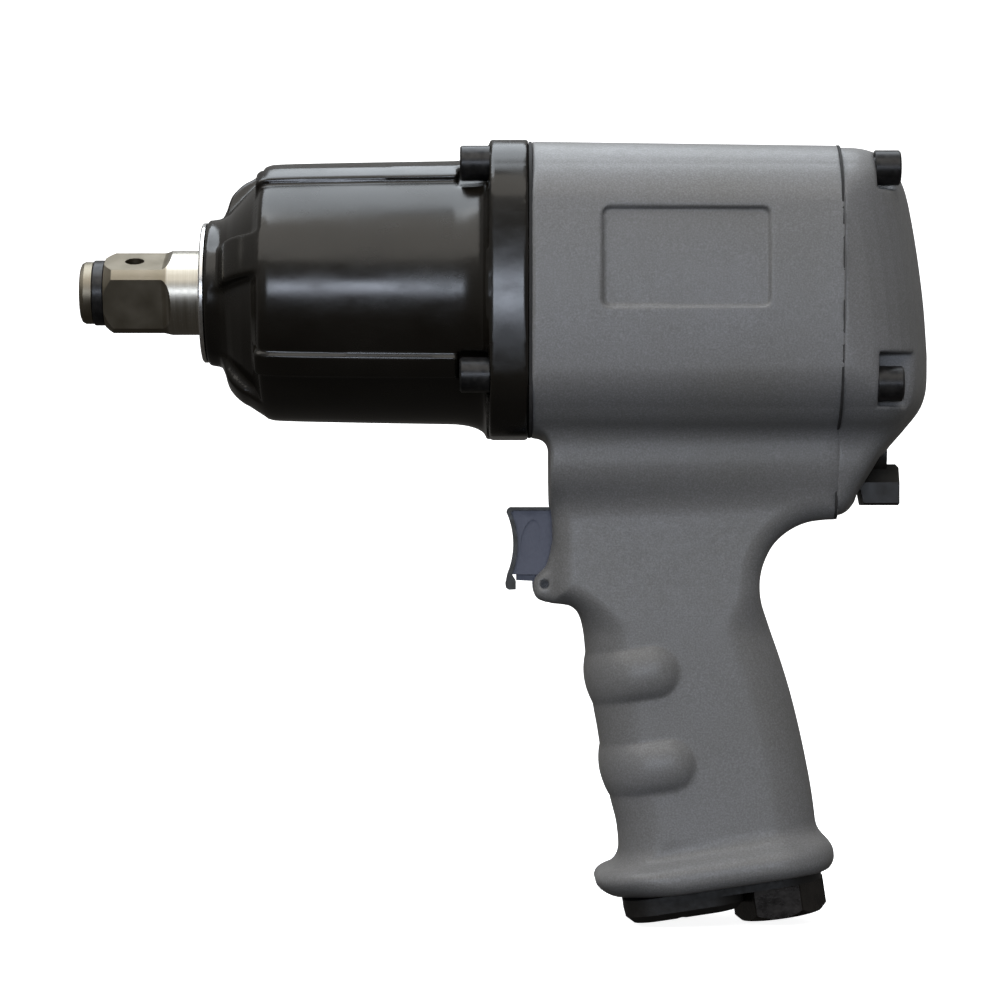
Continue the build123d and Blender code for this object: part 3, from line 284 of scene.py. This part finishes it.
# the grip from the side: down its back, up its front, then the chest and the barrel's underside
NECK = curve_through([
    (216.0, -64.6), (211.0, -64.7), (205.6, -65.5), (200.8, -67.7), (197.0, -70.9),
    (194.6, -74.6), (193.0, -79.0), (192.5, -83.5), (193.1, -88.2), (195.6, -95.1),
    (198.8, -104.2), (201.6, -113.4), (203.9, -122.5), (205.9, -131.7), (207.6, -140.8),
    (208.8, -150.0), (209.4, -158.0), (209.6, -166.0),
]) + curve_through([
    (153.0, -168.0), (153.4, -160.0), (152.8, -152.0), (151.2, -145.4), (149.7, -139.0),
    (148.3, -131.0), (147.2, -124.0), (145.9, -117.0), (144.8, -110.0), (143.9, -103.0),
    (143.2, -96.5), (141.9, -91.9), (139.4, -89.0), (136.6, -88.0), (134.4, -87.6),
]) + [
    (133.9, -82.0), (134.3, -74.0), (133.9, -64.0), (NECK_FRONT_X, -52.0), (NECK_FRONT_X, -30.0),
    (216.0, -30.0),
]
# the lug that holds the trigger's pin
LUG = curve_through([
    (150.0, -88.0), (134.0, -87.9), (131.6, -87.6), (129.9, -86.8), (128.9, -85.2),
    (128.7, -82.9), (129.4, -80.9), (130.9, -79.2), (132.4, -77.6), (133.4, -75.0),
    (134.6, -72.0),
]) + [(150.0, -72.0)]


def crowned(y, z, half, tall, r):
    """Rounded square whose four sides swell a little towards their middles."""
    over = np.minimum((z / 30.0) ** 2, 1.25)
    side = np.minimum((y / 30.0) ** 2, 1.25)
    return rect(np.abs(y) + CROWN * over, np.abs(z) + 0.4 * CROWN * side, half, tall, r)


def barrel_field(x, y, z):
    """The rounded-square motor barrel, a little smaller to the rear."""
    t = (x - H0[0]) / (SEAM_X - H0[0])
    return crowned(y, z, BARREL_HALF - REAR_IN * t, BARREL_TOP - REAR_DOWN * t, CORNER_R)


def bulge_field(x, y, z):
    """Swelling below the barrel around the air passages."""
    t = np.clip((x - 132.8) / (SEAM_X - 132.8), 0.0, 1.0)
    return rect(y, z + BULGE_Z, 27.0 - 3.6 * t, 12.5 - 1.0 * t, 10.5)


def neck_field(x, y, z):
    """The grip and the chest above it, wider and sharper at the top."""
    flat = polygon(x, z, NECK)
    half = ramp(z, -150.0, -84.0, 19.6, 20.6)
    round_edge = ramp(z, -98.0, -84.0, 13.5, 6.5)
    return extruded(flat, np.abs(y) - half, round_edge)


def ridge_field(x, z, x0, x1, zc):
    """Pill-shaped outline of a finger ridge, seen from the side."""
    c, s = math.cos(TILT), math.sin(TILT)
    xm = (x0 + x1) / 2
    u = (x - xm) * c + (z - zc) * s
    w = -(x - xm) * s + (z - zc) * c
    return rect(u, w, (x1 - x0) / 2, RIDGE_HALF, 7.15)


def rim_field(x, y, z):
    """Flared rim at the foot of the grip, its toe rounded off below."""
    u, w = base_coords(x, z)
    flat = rect(u + 0.4, y, 34.2, 25.0, 17.0)
    rim = extruded(flat, np.abs(w - 4.5) - 4.5, 4.2)
    toe = (4.5 * flat - 7.0 * w + 31.5) / 8.32 - ramp(u, -26.0, -8.0, 0.0, 4.6)
    return smax(rim, toe, 3.5)


def housing_field(x, y, z):
    """The whole grey casting."""
    barrel = barrel_field(x, y, z)
    grip = neck_field(x, y, z)
    lower = smin(bulge_field(x, y, z), grip, 7.0)
    front = smax(lower, NECK_FRONT_X - x, 1.2)
    body = smin(barrel, front, 5.0)
    lug = extruded(polygon(x, z, LUG), np.abs(y) - 16.5, 3.0)
    body = smin(body, lug, 2.0)
    body = smax(body, H0[0] - x, 0.8)
    # finger ridges
    for x0, x1, zc in RIDGES:
        out = np.clip(1.0 + ridge_field(x, z, x0, x1, zc) / RIDGE_HALF, 0.0, 1.0)
        swell = ramp(x - x0, 8.0, 22.0, 2.5, 3.9)
        body = smin(body, grip + 1.2 - swell * np.sqrt(1.0 - out * out), 1.2)
    body = smin(body, rim_field(x, y, z), 6.0)
    u, w = base_coords(x, z)
    body = smax(body, -w, 0.8)
    body = smax(body, x - H1[0] - 0.12, 0.3)
    # blank recessed field on the near side
    flat = rect(x - 170.45, z - 7.55, 22.95, 13.65, 2.0)
    body = smax(body, -smax(flat, np.maximum(-1.1 - barrel, y), 0.5), 0.5)
    # motor bore, trigger slot, hinge pin, reverse valve and throttle chamber
    body = cut(body, np.hypot(y, z) - MOTOR_R)
    slot = np.maximum(np.abs(x - 132.0) - 14.0, np.abs(z + 69.55) - 9.45)
    slot = extruded(slot, np.abs(y) - SLOT_HALF, 0.6)
    foot = np.maximum(np.abs(x - 128.0) - 9.9, np.abs(z + 82.3) - 4.3)
    foot = extruded(foot, np.abs(y) - SLOT_HALF, 0.6)
    body = smax(body, -np.minimum(slot, foot), 0.5)
    body = cut(body, np.hypot(x - HINGE_X, z - HINGE_Z) - 1.28)
    body = cut(body, np.hypot(y, z + REVERSE_Z) - 9.03, 150.0 - x)
    body = cut(body, np.hypot(y, z + THROTTLE_Z) - 7.53, np.abs(x - 159.5) - 14.5)
    # inlet, muffler pocket and screw holes in the base
    body = cut(body, np.hypot(u - INLET_U, y) - 9.95, np.abs(w - 7.0) - 8.0)
    body = cut(body, rect(u + 10.5, y, 10.9, 9.4, 0.5), np.abs(w - 4.4) - 5.4)
    for v in (-SCREW_V, SCREW_V):
        body = cut(body, np.hypot(u - SCREW_U, y - v) - 2.05, np.abs(w - 4.0) - 5.0)
    return body


# ------------------------------------------------------------------ hammer case

# outlines of the shell and of the nose's pockets, as x and radius
SHELL = curve_through([
    (35.9, 19.0), (36.8, 20.5), (38.4, 21.0), (40.2, 21.5), (41.4, 24.0), (42.4, 27.3),
    (44.0, 29.6), (46.3, 31.7), (48.6, 33.0), (50.8, 34.5), (52.4, 35.5), (53.8, 36.1),
    (58.0, 36.6), (80.0, 37.1), (104.0, 37.5), (108.0, 37.7), (111.0, 38.2), (113.4, 39.1),
    (115.0, 40.4), (116.2, 43.5),
])
SHELL = SHELL + [(SHELL[-1][0], -6.0), (SHELL[0][0], -6.0)]
POCKET = [
    (52.3, 70.0), (52.2, 36.0), (51.8, 33.6), (50.4, 30.9), (47.4, 27.9), (44.4, 24.6),
    (42.6, 22.4), (40.8, 21.2), (38.4, 20.9), (38.4, 70.0),
]
NOSE_RIB_ROLL = math.radians(16.0)
NOSE_RIB_HALF = 6.2
LONG_RIBS = ((58.0, 3.5, 1.7), (-36.0, 3.6, 1.3))  # angle, half width and height


def case_field(x, y, z):
    """The black casting around the hammers."""
    r = np.hypot(y, z)
    shell = polygon(x, r, SHELL)
    # pockets between the four ribs of the nose
    pocket = polygon(x, r, POCKET)
    c, s = math.cos(NOSE_RIB_ROLL), math.sin(NOSE_RIB_ROLL)
    from_rib = np.minimum(np.abs(y * s + z * c), np.abs(z * s - y * c))
    pocket = smax(pocket, NOSE_RIB_HALF - from_rib, 1.6)
    body = smax(shell, -pocket, 1.3)
    # raised ribs in line with the bolts
    for angle, wide, high in LONG_RIBS:
        c, s = math.cos(math.radians(angle)), math.sin(math.radians(angle))
        across = -np.abs(y) * s + z * c
        along = np.abs(y) * c + z * s
        bar = np.maximum(np.abs(across) - wide, -along)
        bar = smax(bar, shell - high, 0.8)
        bar = smax(bar, np.maximum(51.0 - x, x - 118.0), 1.0)
        body = smin(body, bar, 0.9)
    # flange, with a seat for each bolt
    flange = crowned(y, z, BARREL_HALF, BARREL_HALF, CORNER_R)
    body = smax(body, flange, 0.8)
    flange = extruded(flange, np.abs(x - (C1[0] + FLANGE_X) / 2) - (C1[0] - FLANGE_X) / 2, 0.9)
    body = smin(body, flange, 0.8)
    for by, bz in FRONT_BOLTS:
        d = np.hypot(np.abs(y) - by, z - bz)
        seat = smax(d - SEAT_R, np.maximum(FRONT_HEAD_X - 0.6 - x, x - FLANGE_X), 0.5)
        body = smax(body, -seat, 0.9)
    body = smax(body, x - C1[0], 0.5)
    # cavity for the hammers and bore for the bushing
    cavity = np.maximum(r - 33.0, 57.0 - x)
    body = np.maximum(body, -smax(cavity, r - x + 27.0, 2.0))
    return cut(body, r - 15.03)


# ------------------------------------------------------------------ rear cap

# the cap from the side, and how far its back is set in at each distance from the middle
CAP_SIDE = curve_through([
    (210.0, 40.6), (219.0, 40.5), (223.6, 40.1), (227.4, 38.6), (230.6, 35.6), (233.2, 32.0),
    (235.0, 27.4), (236.6, 20.0), (238.4, 9.0), (240.0, -4.0), (240.9, -16.5),
], 5) + curve_through([
    (241.0, -18.5), (240.9, -26.0), (240.2, -30.4), (238.4, -34.4), (234.4, -39.4),
    (229.6, -45.1), (224.9, -52.6), (220.2, -60.0), (217.8, -62.9), (215.4, -64.2),
    (210.0, -64.5),
], 5)
ROUND_Y = (0.0, 8.0, 16.0, 24.0, 29.0, 33.0, 36.5, 39.0, 40.6, 41.6)
ROUND_X = (0.0, 0.7, 2.4, 5.2, 7.8, 10.8, 14.6, 18.8, 23.5, 29.0)


def cap_field(x, y, z):
    """The rear cover."""
    t = np.clip((x - SEAM_X) / 27.0, 0.0, 1.0)
    barrel = crowned(y, z, BARREL_HALF - REAR_IN, BARREL_TOP - REAR_DOWN, CORNER_R)
    bulge = rect(y, z + BULGE_Z, 23.0 - 1.5 * t, 11.0, 9.5)
    lower = rect(y, z + 42.5, 20.6 - 1.5 * t, 22.0, 6.5)
    body = smin(barrel, smin(bulge, lower, 7.0), 6.0)
    # the back is round in plan too
    side = polygon(x + np.interp(np.abs(y), ROUND_Y, ROUND_X), z, CAP_SIDE)
    body = smax(body, side, 3.5)
    body = smax(body, SEAM_X - 0.12 - x, 0.3)
    # bolt pockets: the upper two are open to the corner, the lower two to the side
    for by, bz in REAR_BOLTS:
        ay = np.abs(y) - by
        dz = z - bz
        if bz > 0:
            above = np.maximum(np.abs(ay) - SEAT_R, -dz)
            beside = np.maximum(-ay, -dz - SEAT_R)
            wide = np.minimum(np.hypot(ay, dz) - SEAT_R, np.minimum(above, beside))
        else:
            wide = np.maximum(np.abs(dz - 1.2) - 7.4, -ay - SEAT_R)
            wide = smax(wide, x - 239.4, 3.0)
        body = smax(body, -smax(wide, POCKET_X - x, 0.6), 0.9)
    # hollow behind the motor, valve bore and lever recess
    body = cut(body, np.hypot(y, z) - 27.1, x - SEAM_X - 6.0)
    valve_r = np.hypot(y, z + REVERSE_Z)
    body = cut(body, valve_r - 6.65)
    recess = np.minimum(valve_r - 7.7, np.maximum(np.abs(y) - 13.5, z + 47.0))
    return smax(body, -smax(recess, LEVER_X - 1.2 - x, 0.6), 0.8)


STEP = 0.75
MARGIN = 1.5
housing = surface("housing_casting", housing_field, H0 - MARGIN, H1 + MARGIN, STEP)
case = surface("case_casting", case_field, C0 - MARGIN, C1 + MARGIN, STEP)
cap = surface("cap_casting", cap_field, R0 - MARGIN, R1 + MARGIN, STEP)
CASTINGS = (
    (housing, "motor_housing", "grey_paint"),
    (case, "hammer_case", "black_case"),
    (cap, "rear_cap", "grey_paint"),
)
for piece, node, finish in CASTINGS:
    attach(piece, "housing")
    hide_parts(node)


# ------------------------------------------------------------------ materials

def material(name):
    """A new node material, its tree and its shader."""
    m = bpy.data.materials.new(name)
    m.use_nodes = True
    nt = m.node_tree
    shader = nt.nodes["Principled BSDF"]
    return m, nt, shader


def add_node(nt, kind, inputs=None, **props):
    """A new node with its inputs' values and its own properties set."""
    n = nt.nodes.new(kind)
    for key, value in props.items():
        setattr(n, key, value)
    for key, value in (inputs or {}).items():
        n.inputs[key].default_value = value
    return n


def coords(nt, scale=(1.0, 1.0, 1.0)):
    """Object coordinates in millimetres, times scale."""
    tex = add_node(nt, "ShaderNodeTexCoord")
    mapping = add_node(nt, "ShaderNodeMapping", {"Scale": [1000.0 * s for s in scale]})
    nt.links.new(tex.outputs["Object"], mapping.inputs["Vector"])
    return mapping.outputs["Vector"]


def noise(nt, vector, scale, detail=3.0, rough=0.5):
    n = add_node(nt, "ShaderNodeTexNoise", {"Scale": scale, "Detail": detail, "Roughness": rough})
    nt.links.new(vector, n.inputs["Vector"])
    return n.outputs["Fac"]


def ramp_between(nt, fac, stops):
    """Colour from a value, between (position, colour) stops."""
    r = add_node(nt, "ShaderNodeValToRGB")
    e = r.color_ramp.elements
    while len(e) > 1:
        e.remove(e[-1])
    e[0].position, e[0].color = stops[0][0], (*stops[0][1], 1.0)
    for pos, col in stops[1:]:
        s = e.new(pos)
        s.color = (*col, 1.0)
    nt.links.new(fac, r.inputs["Fac"])
    return r.outputs["Color"]


def math_node(nt, op, a, b=None, clamp=False):
    n = add_node(nt, "ShaderNodeMath", operation=op, use_clamp=clamp)
    for i, v in enumerate((a, b)):
        if v is None:
            continue
        if isinstance(v, (int, float)):
            n.inputs[i].default_value = v
        else:
            nt.links.new(v, n.inputs[i])
    return n.outputs[0]


def map_range(nt, fac, a, b, c, d):
    n = add_node(nt, "ShaderNodeMapRange", {"From Min": a, "From Max": b, "To Min": c, "To Max": d})
    nt.links.new(fac, n.inputs["Value"])
    return n.outputs["Result"]


def bump(nt, shader, height, strength, distance):
    """Surface relief, its distance in millimetres."""
    b = add_node(nt, "ShaderNodeBump", {"Strength": strength, "Distance": distance * MM})
    nt.links.new(height, b.inputs["Height"])
    nt.links.new(b.outputs["Normal"], shader.inputs["Normal"])


def mix_color(nt, fac, a, b, mode="MIX"):
    n = add_node(nt, "ShaderNodeMix", data_type="RGBA", blend_type=mode)
    for key, v in ((0, fac), (6, a), (7, b)):
        if isinstance(v, (int, float)):
            n.inputs[key].default_value = v
        elif isinstance(v, tuple):
            n.inputs[key].default_value = (*v, 1.0)
        else:
            nt.links.new(v, n.inputs[key])
    return n.outputs[2]


def curvature_wear_and_shade(nt):
    """Above a half on convex edges and below it in corners, from the mesh's curvature; it marks
    wear on the edges and painted shade in the corners.
    """
    return add_node(nt, "ShaderNodeNewGeometry").outputs["Pointiness"]


def grey_paint():
    """Fine-grained satin paint."""
    m, nt, sh = material("grey_satin_paint")
    v = coords(nt)
    fine = noise(nt, v, 2.1, 3.0, 0.6)
    mid = noise(nt, v, 0.5, 3.0, 0.55)
    broad = noise(nt, v, 0.03, 4.0)
    grains = ramp_between(nt, fine, [(0.30, (0.150, 0.150, 0.149)), (0.5, (0.182, 0.182, 0.183)),
                                     (0.70, (0.232, 0.234, 0.240))])
    tint = ramp_between(nt, broad, [(0.35, (0.93, 0.925, 0.91)), (0.65, (1.0, 1.0, 1.015))])
    color = mix_color(nt, 1.0, grains, tint, "MULTIPLY")
    # rubbed lighter on sharp edges; painted shade darkens the corners and creases
    edge = map_range(nt, curvature_wear_and_shade(nt), 0.53, 0.60, 0.0, 0.35)
    color = mix_color(nt, math_node(nt, "MULTIPLY", edge, mid, True), color, (0.34, 0.34, 0.35))
    # painted shade: a dark colour mixed into concave corners and creases, where shade falls
    corner_painted_shade = map_range(nt, curvature_wear_and_shade(nt), 0.40, 0.475, 0.55, 0.0)
    color = mix_color(nt, corner_painted_shade, color, (0.07, 0.068, 0.062))
    nt.links.new(color, sh.inputs["Base Color"])
    nt.links.new(map_range(nt, mid, 0.3, 0.7, 0.36, 0.46), sh.inputs["Roughness"])
    sh.inputs["Specular IOR Level"].default_value = 0.5
    both = math_node(nt, "ADD", math_node(nt, "MULTIPLY", fine, 0.7),
                     math_node(nt, "MULTIPLY", mid, 0.6))
    bump(nt, sh, both, 0.5, 0.14)
    return m


def black_enamel():
    """Glossy black paint on a casting."""
    m, nt, sh = material("black_enamel")
    v = coords(nt)
    fine = noise(nt, v, 0.7, 3.0)
    broad = noise(nt, v, 0.05, 4.0)
    smudge = noise(nt, coords(nt, (0.5, 1.0, 1.0)), 0.11, 4.0, 0.6)
    color = ramp_between(nt, broad, [(0.35, (0.0040, 0.0032, 0.0022)),
                                     (0.65, (0.0072, 0.0062, 0.0048))])
    edge = map_range(nt, curvature_wear_and_shade(nt), 0.56, 0.66, 0.0, 0.5)
    color = mix_color(nt, math_node(nt, "MULTIPLY", edge, fine, True), color, (0.06, 0.055, 0.05))
    nt.links.new(color, sh.inputs["Base Color"])
    nt.links.new(map_range(nt, smudge, 0.35, 0.7, 0.17, 0.30), sh.inputs["Roughness"])
    sh.inputs["Specular IOR Level"].default_value = 0.5
    bump(nt, sh, fine, 0.10, 0.06)
    return m


def anvil_steel():
    """Dark oiled steel on the square and its end, ground bright on the shank."""
    m, nt, sh = material("anvil_steel")
    v = coords(nt)
    split = add_node(nt, "ShaderNodeSeparateXYZ")
    nt.links.new(v, split.inputs[0])
    shank = map_range(nt, split.outputs["X"], SHANK_X - 0.5, SHANK_X + 0.3, 0.0, 1.0)
    streak = noise(nt, coords(nt, (6.0, 0.05, 0.05)), 1.0, 3.0)
    mottled = noise(nt, v, 0.16, 3.0, 0.45)
    dark = ramp_between(nt, mottled, [(0.30, (0.205, 0.180, 0.135)),
                                      (0.70, (0.27, 0.24, 0.19))])
    bright = ramp_between(nt, streak, [(0.3, (0.40, 0.375, 0.32)), (0.7, (0.50, 0.475, 0.42))])
    nt.links.new(mix_color(nt, shank, dark, bright), sh.inputs["Base Color"])
    sh.inputs["Metallic"].default_value = 1.0
    rough = add_node(nt, "ShaderNodeMix", data_type="FLOAT")
    nt.links.new(shank, rough.inputs[0])
    nt.links.new(map_range(nt, mottled, 0.3, 0.7, 0.42, 0.5), rough.inputs[2])
    nt.links.new(map_range(nt, streak, 0.3, 0.7, 0.30, 0.40), rough.inputs[3])
    nt.links.new(rough.outputs[0], sh.inputs["Roughness"])
    fine = noise(nt, v, 1.6, 3.0)
    bump(nt, sh, math_node(nt, "ADD", streak, math_node(nt, "MULTIPLY", fine, 0.4)), 0.14, 0.05)
    return m


def plain_finish(name, low, high, rough=(0.3, 0.5), metallic=1.0, scale=0.3, strength=0.2,
                 depth=0.06):
    """A mottled finish between two colours and two roughnesses, with fine relief."""
    m, nt, sh = material(name)
    v = coords(nt)
    a = noise(nt, v, scale, 4.0)
    b = noise(nt, v, scale * 5.0, 2.0)
    nt.links.new(ramp_between(nt, a, [(0.3, low), (0.7, high)]), sh.inputs["Base Color"])
    nt.links.new(map_range(nt, a, 0.3, 0.7, rough[0], rough[1]), sh.inputs["Roughness"])
    sh.inputs["Metallic"].default_value = metallic
    bump(nt, sh, b, strength, depth)
    return m


# slot: name, dark and light colour, roughness, metallic, scale, then bump strength and depth
PLAIN_FINISHES = {
    "bushing": ("turned_bushing", (0.62, 0.61, 0.60), (0.8, 0.79, 0.77), (0.22, 0.36), 1.0, 0.4),
    "bolt_black": ("black_oxide", (0.012, 0.012, 0.013), (0.035, 0.034, 0.034), (0.28, 0.42),
                   0.6, 0.5),
    "gasket_black": ("gasket", (0.012, 0.012, 0.012), (0.03, 0.03, 0.03), (0.7, 0.85), 0.0, 0.8),
    "inner_steel": ("machined_steel", (0.36, 0.36, 0.35), (0.55, 0.55, 0.54), (0.25, 0.4),
                    1.0, 0.3),
    "bronze": ("bearing_bronze", (0.42, 0.26, 0.12), (0.62, 0.42, 0.22), (0.3, 0.45), 1.0, 0.3),
    "vane_composite": ("vane_laminate", (0.11, 0.06, 0.03), (0.2, 0.12, 0.06), (0.6, 0.75),
                       0.0, 0.9),
    "o_ring": ("o_ring_rubber", (0.012, 0.012, 0.012), (0.022, 0.022, 0.022), (0.5, 0.65),
               0.0, 0.9),
    "trigger_cast": ("trigger_casting", (0.055, 0.058, 0.078), (0.115, 0.122, 0.158),
                     (0.38, 0.55), 0.35, 0.16, 0.3, 0.1),
    "trigger_black": ("trigger_plate_black", (0.01, 0.01, 0.009), (0.022, 0.021, 0.018),
                      (0.34, 0.5), 0.2, 0.4),
    "lever_black": ("lever_black", (0.006, 0.005, 0.004), (0.013, 0.012, 0.010), (0.4, 0.55),
                    0.0, 0.3),
    "inlet_black": ("inlet_black", (0.010, 0.008, 0.007), (0.034, 0.029, 0.025), (0.20, 0.36),
                    0.7, 0.25, 0.3, 0.1),
    "exhaust_black": ("exhaust_black", (0.003, 0.0025, 0.002), (0.008, 0.007, 0.006),
                      (0.5, 0.7), 0.0, 0.6, 0.35, 0.12),
    "felt": ("felt", (0.2, 0.19, 0.17), (0.34, 0.33, 0.3), (0.9, 1.0), 0.0, 1.2, 0.6, 0.3),
    "screen_steel": ("screen_steel", (0.4, 0.4, 0.4), (0.55, 0.55, 0.55), (0.3, 0.45), 1.0, 0.5),
}
MATERIALS = {
    "grey_paint": grey_paint(),
    "black_case": black_enamel(),
    "bright_steel": anvil_steel(),
}
for key, values in PLAIN_FINISHES.items():
    MATERIALS[key] = plain_finish(*values)
OWN_FINISH = {"anvil_bushing": "bushing", "trigger_pin": "bolt_black"}
SLOTS = {s["node"]: s["material_slot"] for s in frame["record"]["subparts"]}
for name, obj in frame["nodes"].items():
    key = OWN_FINISH.get(name, SLOTS[name])
    if not obj.material_slots:
        obj.data.materials.append(None)
    for place in obj.material_slots:
        place.link = "OBJECT"
        place.material = MATERIALS[key]
for piece, _, finish in CASTINGS:
    piece.data.materials.append(MATERIALS[finish])


# ------------------------------------------------------------------ studio

def area_light(name, place, aim, size, power, color=(1.0, 1.0, 1.0)):
    """A soft light at a place, turned to its aim; size is width and height."""
    data = bpy.data.lights.new(name, "AREA")
    data.shape = "RECTANGLE"
    data.size, data.size_y = size
    data.energy = power
    data.color = color
    lamp = bpy.data.objects.new(name, data)
    lamp.location = place
    lamp.rotation_mode = "QUATERNION"
    lamp.rotation_quaternion = (Vector(aim) - Vector(place)).to_track_quat("-Z", "Y")
    bpy.context.scene.collection.objects.link(lamp)
    return lamp


def sweep_floor():
    """Pale floor that curves up into a backdrop."""
    low = CAD_BOX[0][2] - 0.0006
    back, bend = 0.9, 0.6
    line = [(-2.5, 0.0), (back, 0.0)]
    for a in np.linspace(0.0, math.pi / 2, 14)[1:]:
        line.append((back + bend * math.sin(a), bend - bend * math.cos(a)))
    line.append((back + bend, 3.0))
    verts = [(x, y, low + z) for y, z in line for x in (-3.0, 3.0)]
    faces = [(2 * i, 2 * i + 1, 2 * i + 3, 2 * i + 2) for i in range(len(line) - 1)]
    mesh = bpy.data.meshes.new("studio_floor")
    mesh.from_pydata(verts, [], faces)
    obj = bpy.data.objects.new("studio_floor", mesh)
    bpy.context.scene.collection.objects.link(obj)
    m, nt, sh = material("studio_floor")
    sh.inputs["Base Color"].default_value = (0.93, 0.93, 0.93, 1.0)
    sh.inputs["Roughness"].default_value = 0.9
    sh.inputs["Emission Color"].default_value = (1.0, 1.0, 1.0, 1.0)
    sh.inputs["Emission Strength"].default_value = 0.9
    mesh.materials.append(m)
    # the paper only shows behind the tool and takes its shadow
    obj.visible_glossy = False
    obj.visible_diffuse = False


sweep_floor()
world = bpy.data.worlds.new("studio")
world.use_nodes = True
sky = world.node_tree
back = sky.nodes["Background"]
split = add_node(sky, "ShaderNodeSeparateXYZ")
sky.links.new(add_node(sky, "ShaderNodeTexCoord").outputs["Generated"], split.inputs[0])
up = split.outputs["Z"]
sky.links.new(ramp_between(sky, map_range(sky, up, -1.0, 1.0, 0.0, 1.0), [
    (0.2, (1.0, 0.93, 0.84)), (0.6, (1.0, 0.99, 0.97))]), back.inputs["Color"])
sky.links.new(map_range(sky, up, -0.4, 0.9, 0.05, 0.40), back.inputs["Strength"])
bpy.context.scene.world = world
area_light("overhead", (-0.02, 0.10, 0.80), (0.10, 0.0, 0.0), (1.0, 0.62), 8.5, (0.86, 0.93, 1.0))
high, middle = (-0.30, -0.95, 1.10), (0.12, 0.0, -0.05)
area_light("high_front", high, middle, (2.2, 1.2), 11.0, (1.0, 0.955, 0.88))
# the same place again, without a reflection of its own
fill = area_light("high_fill", high, middle, (2.2, 1.2), 19.0)
fill.visible_glossy = False
area_light("window", (-0.02, -1.75, 0.05), (0.12, 0.0, -0.03), (0.85, 0.26), 7.0,
           (0.78, 0.86, 1.0))

camera = bpy.data.cameras.new("camera")
camera.lens = 122.4
camera.sensor_width = 36.0
camera.clip_start = 0.05
camera.clip_end = 20.0
eye = bpy.data.objects.new("camera", camera)
eye.location = (0.1194, -0.971, -0.0591)
eye.rotation_euler = (math.radians(90.0), 0.0, 0.0)
bpy.context.scene.collection.objects.link(eye)
bpy.context.scene.camera = eye
bpy.context.scene.view_settings.view_transform = "Standard"
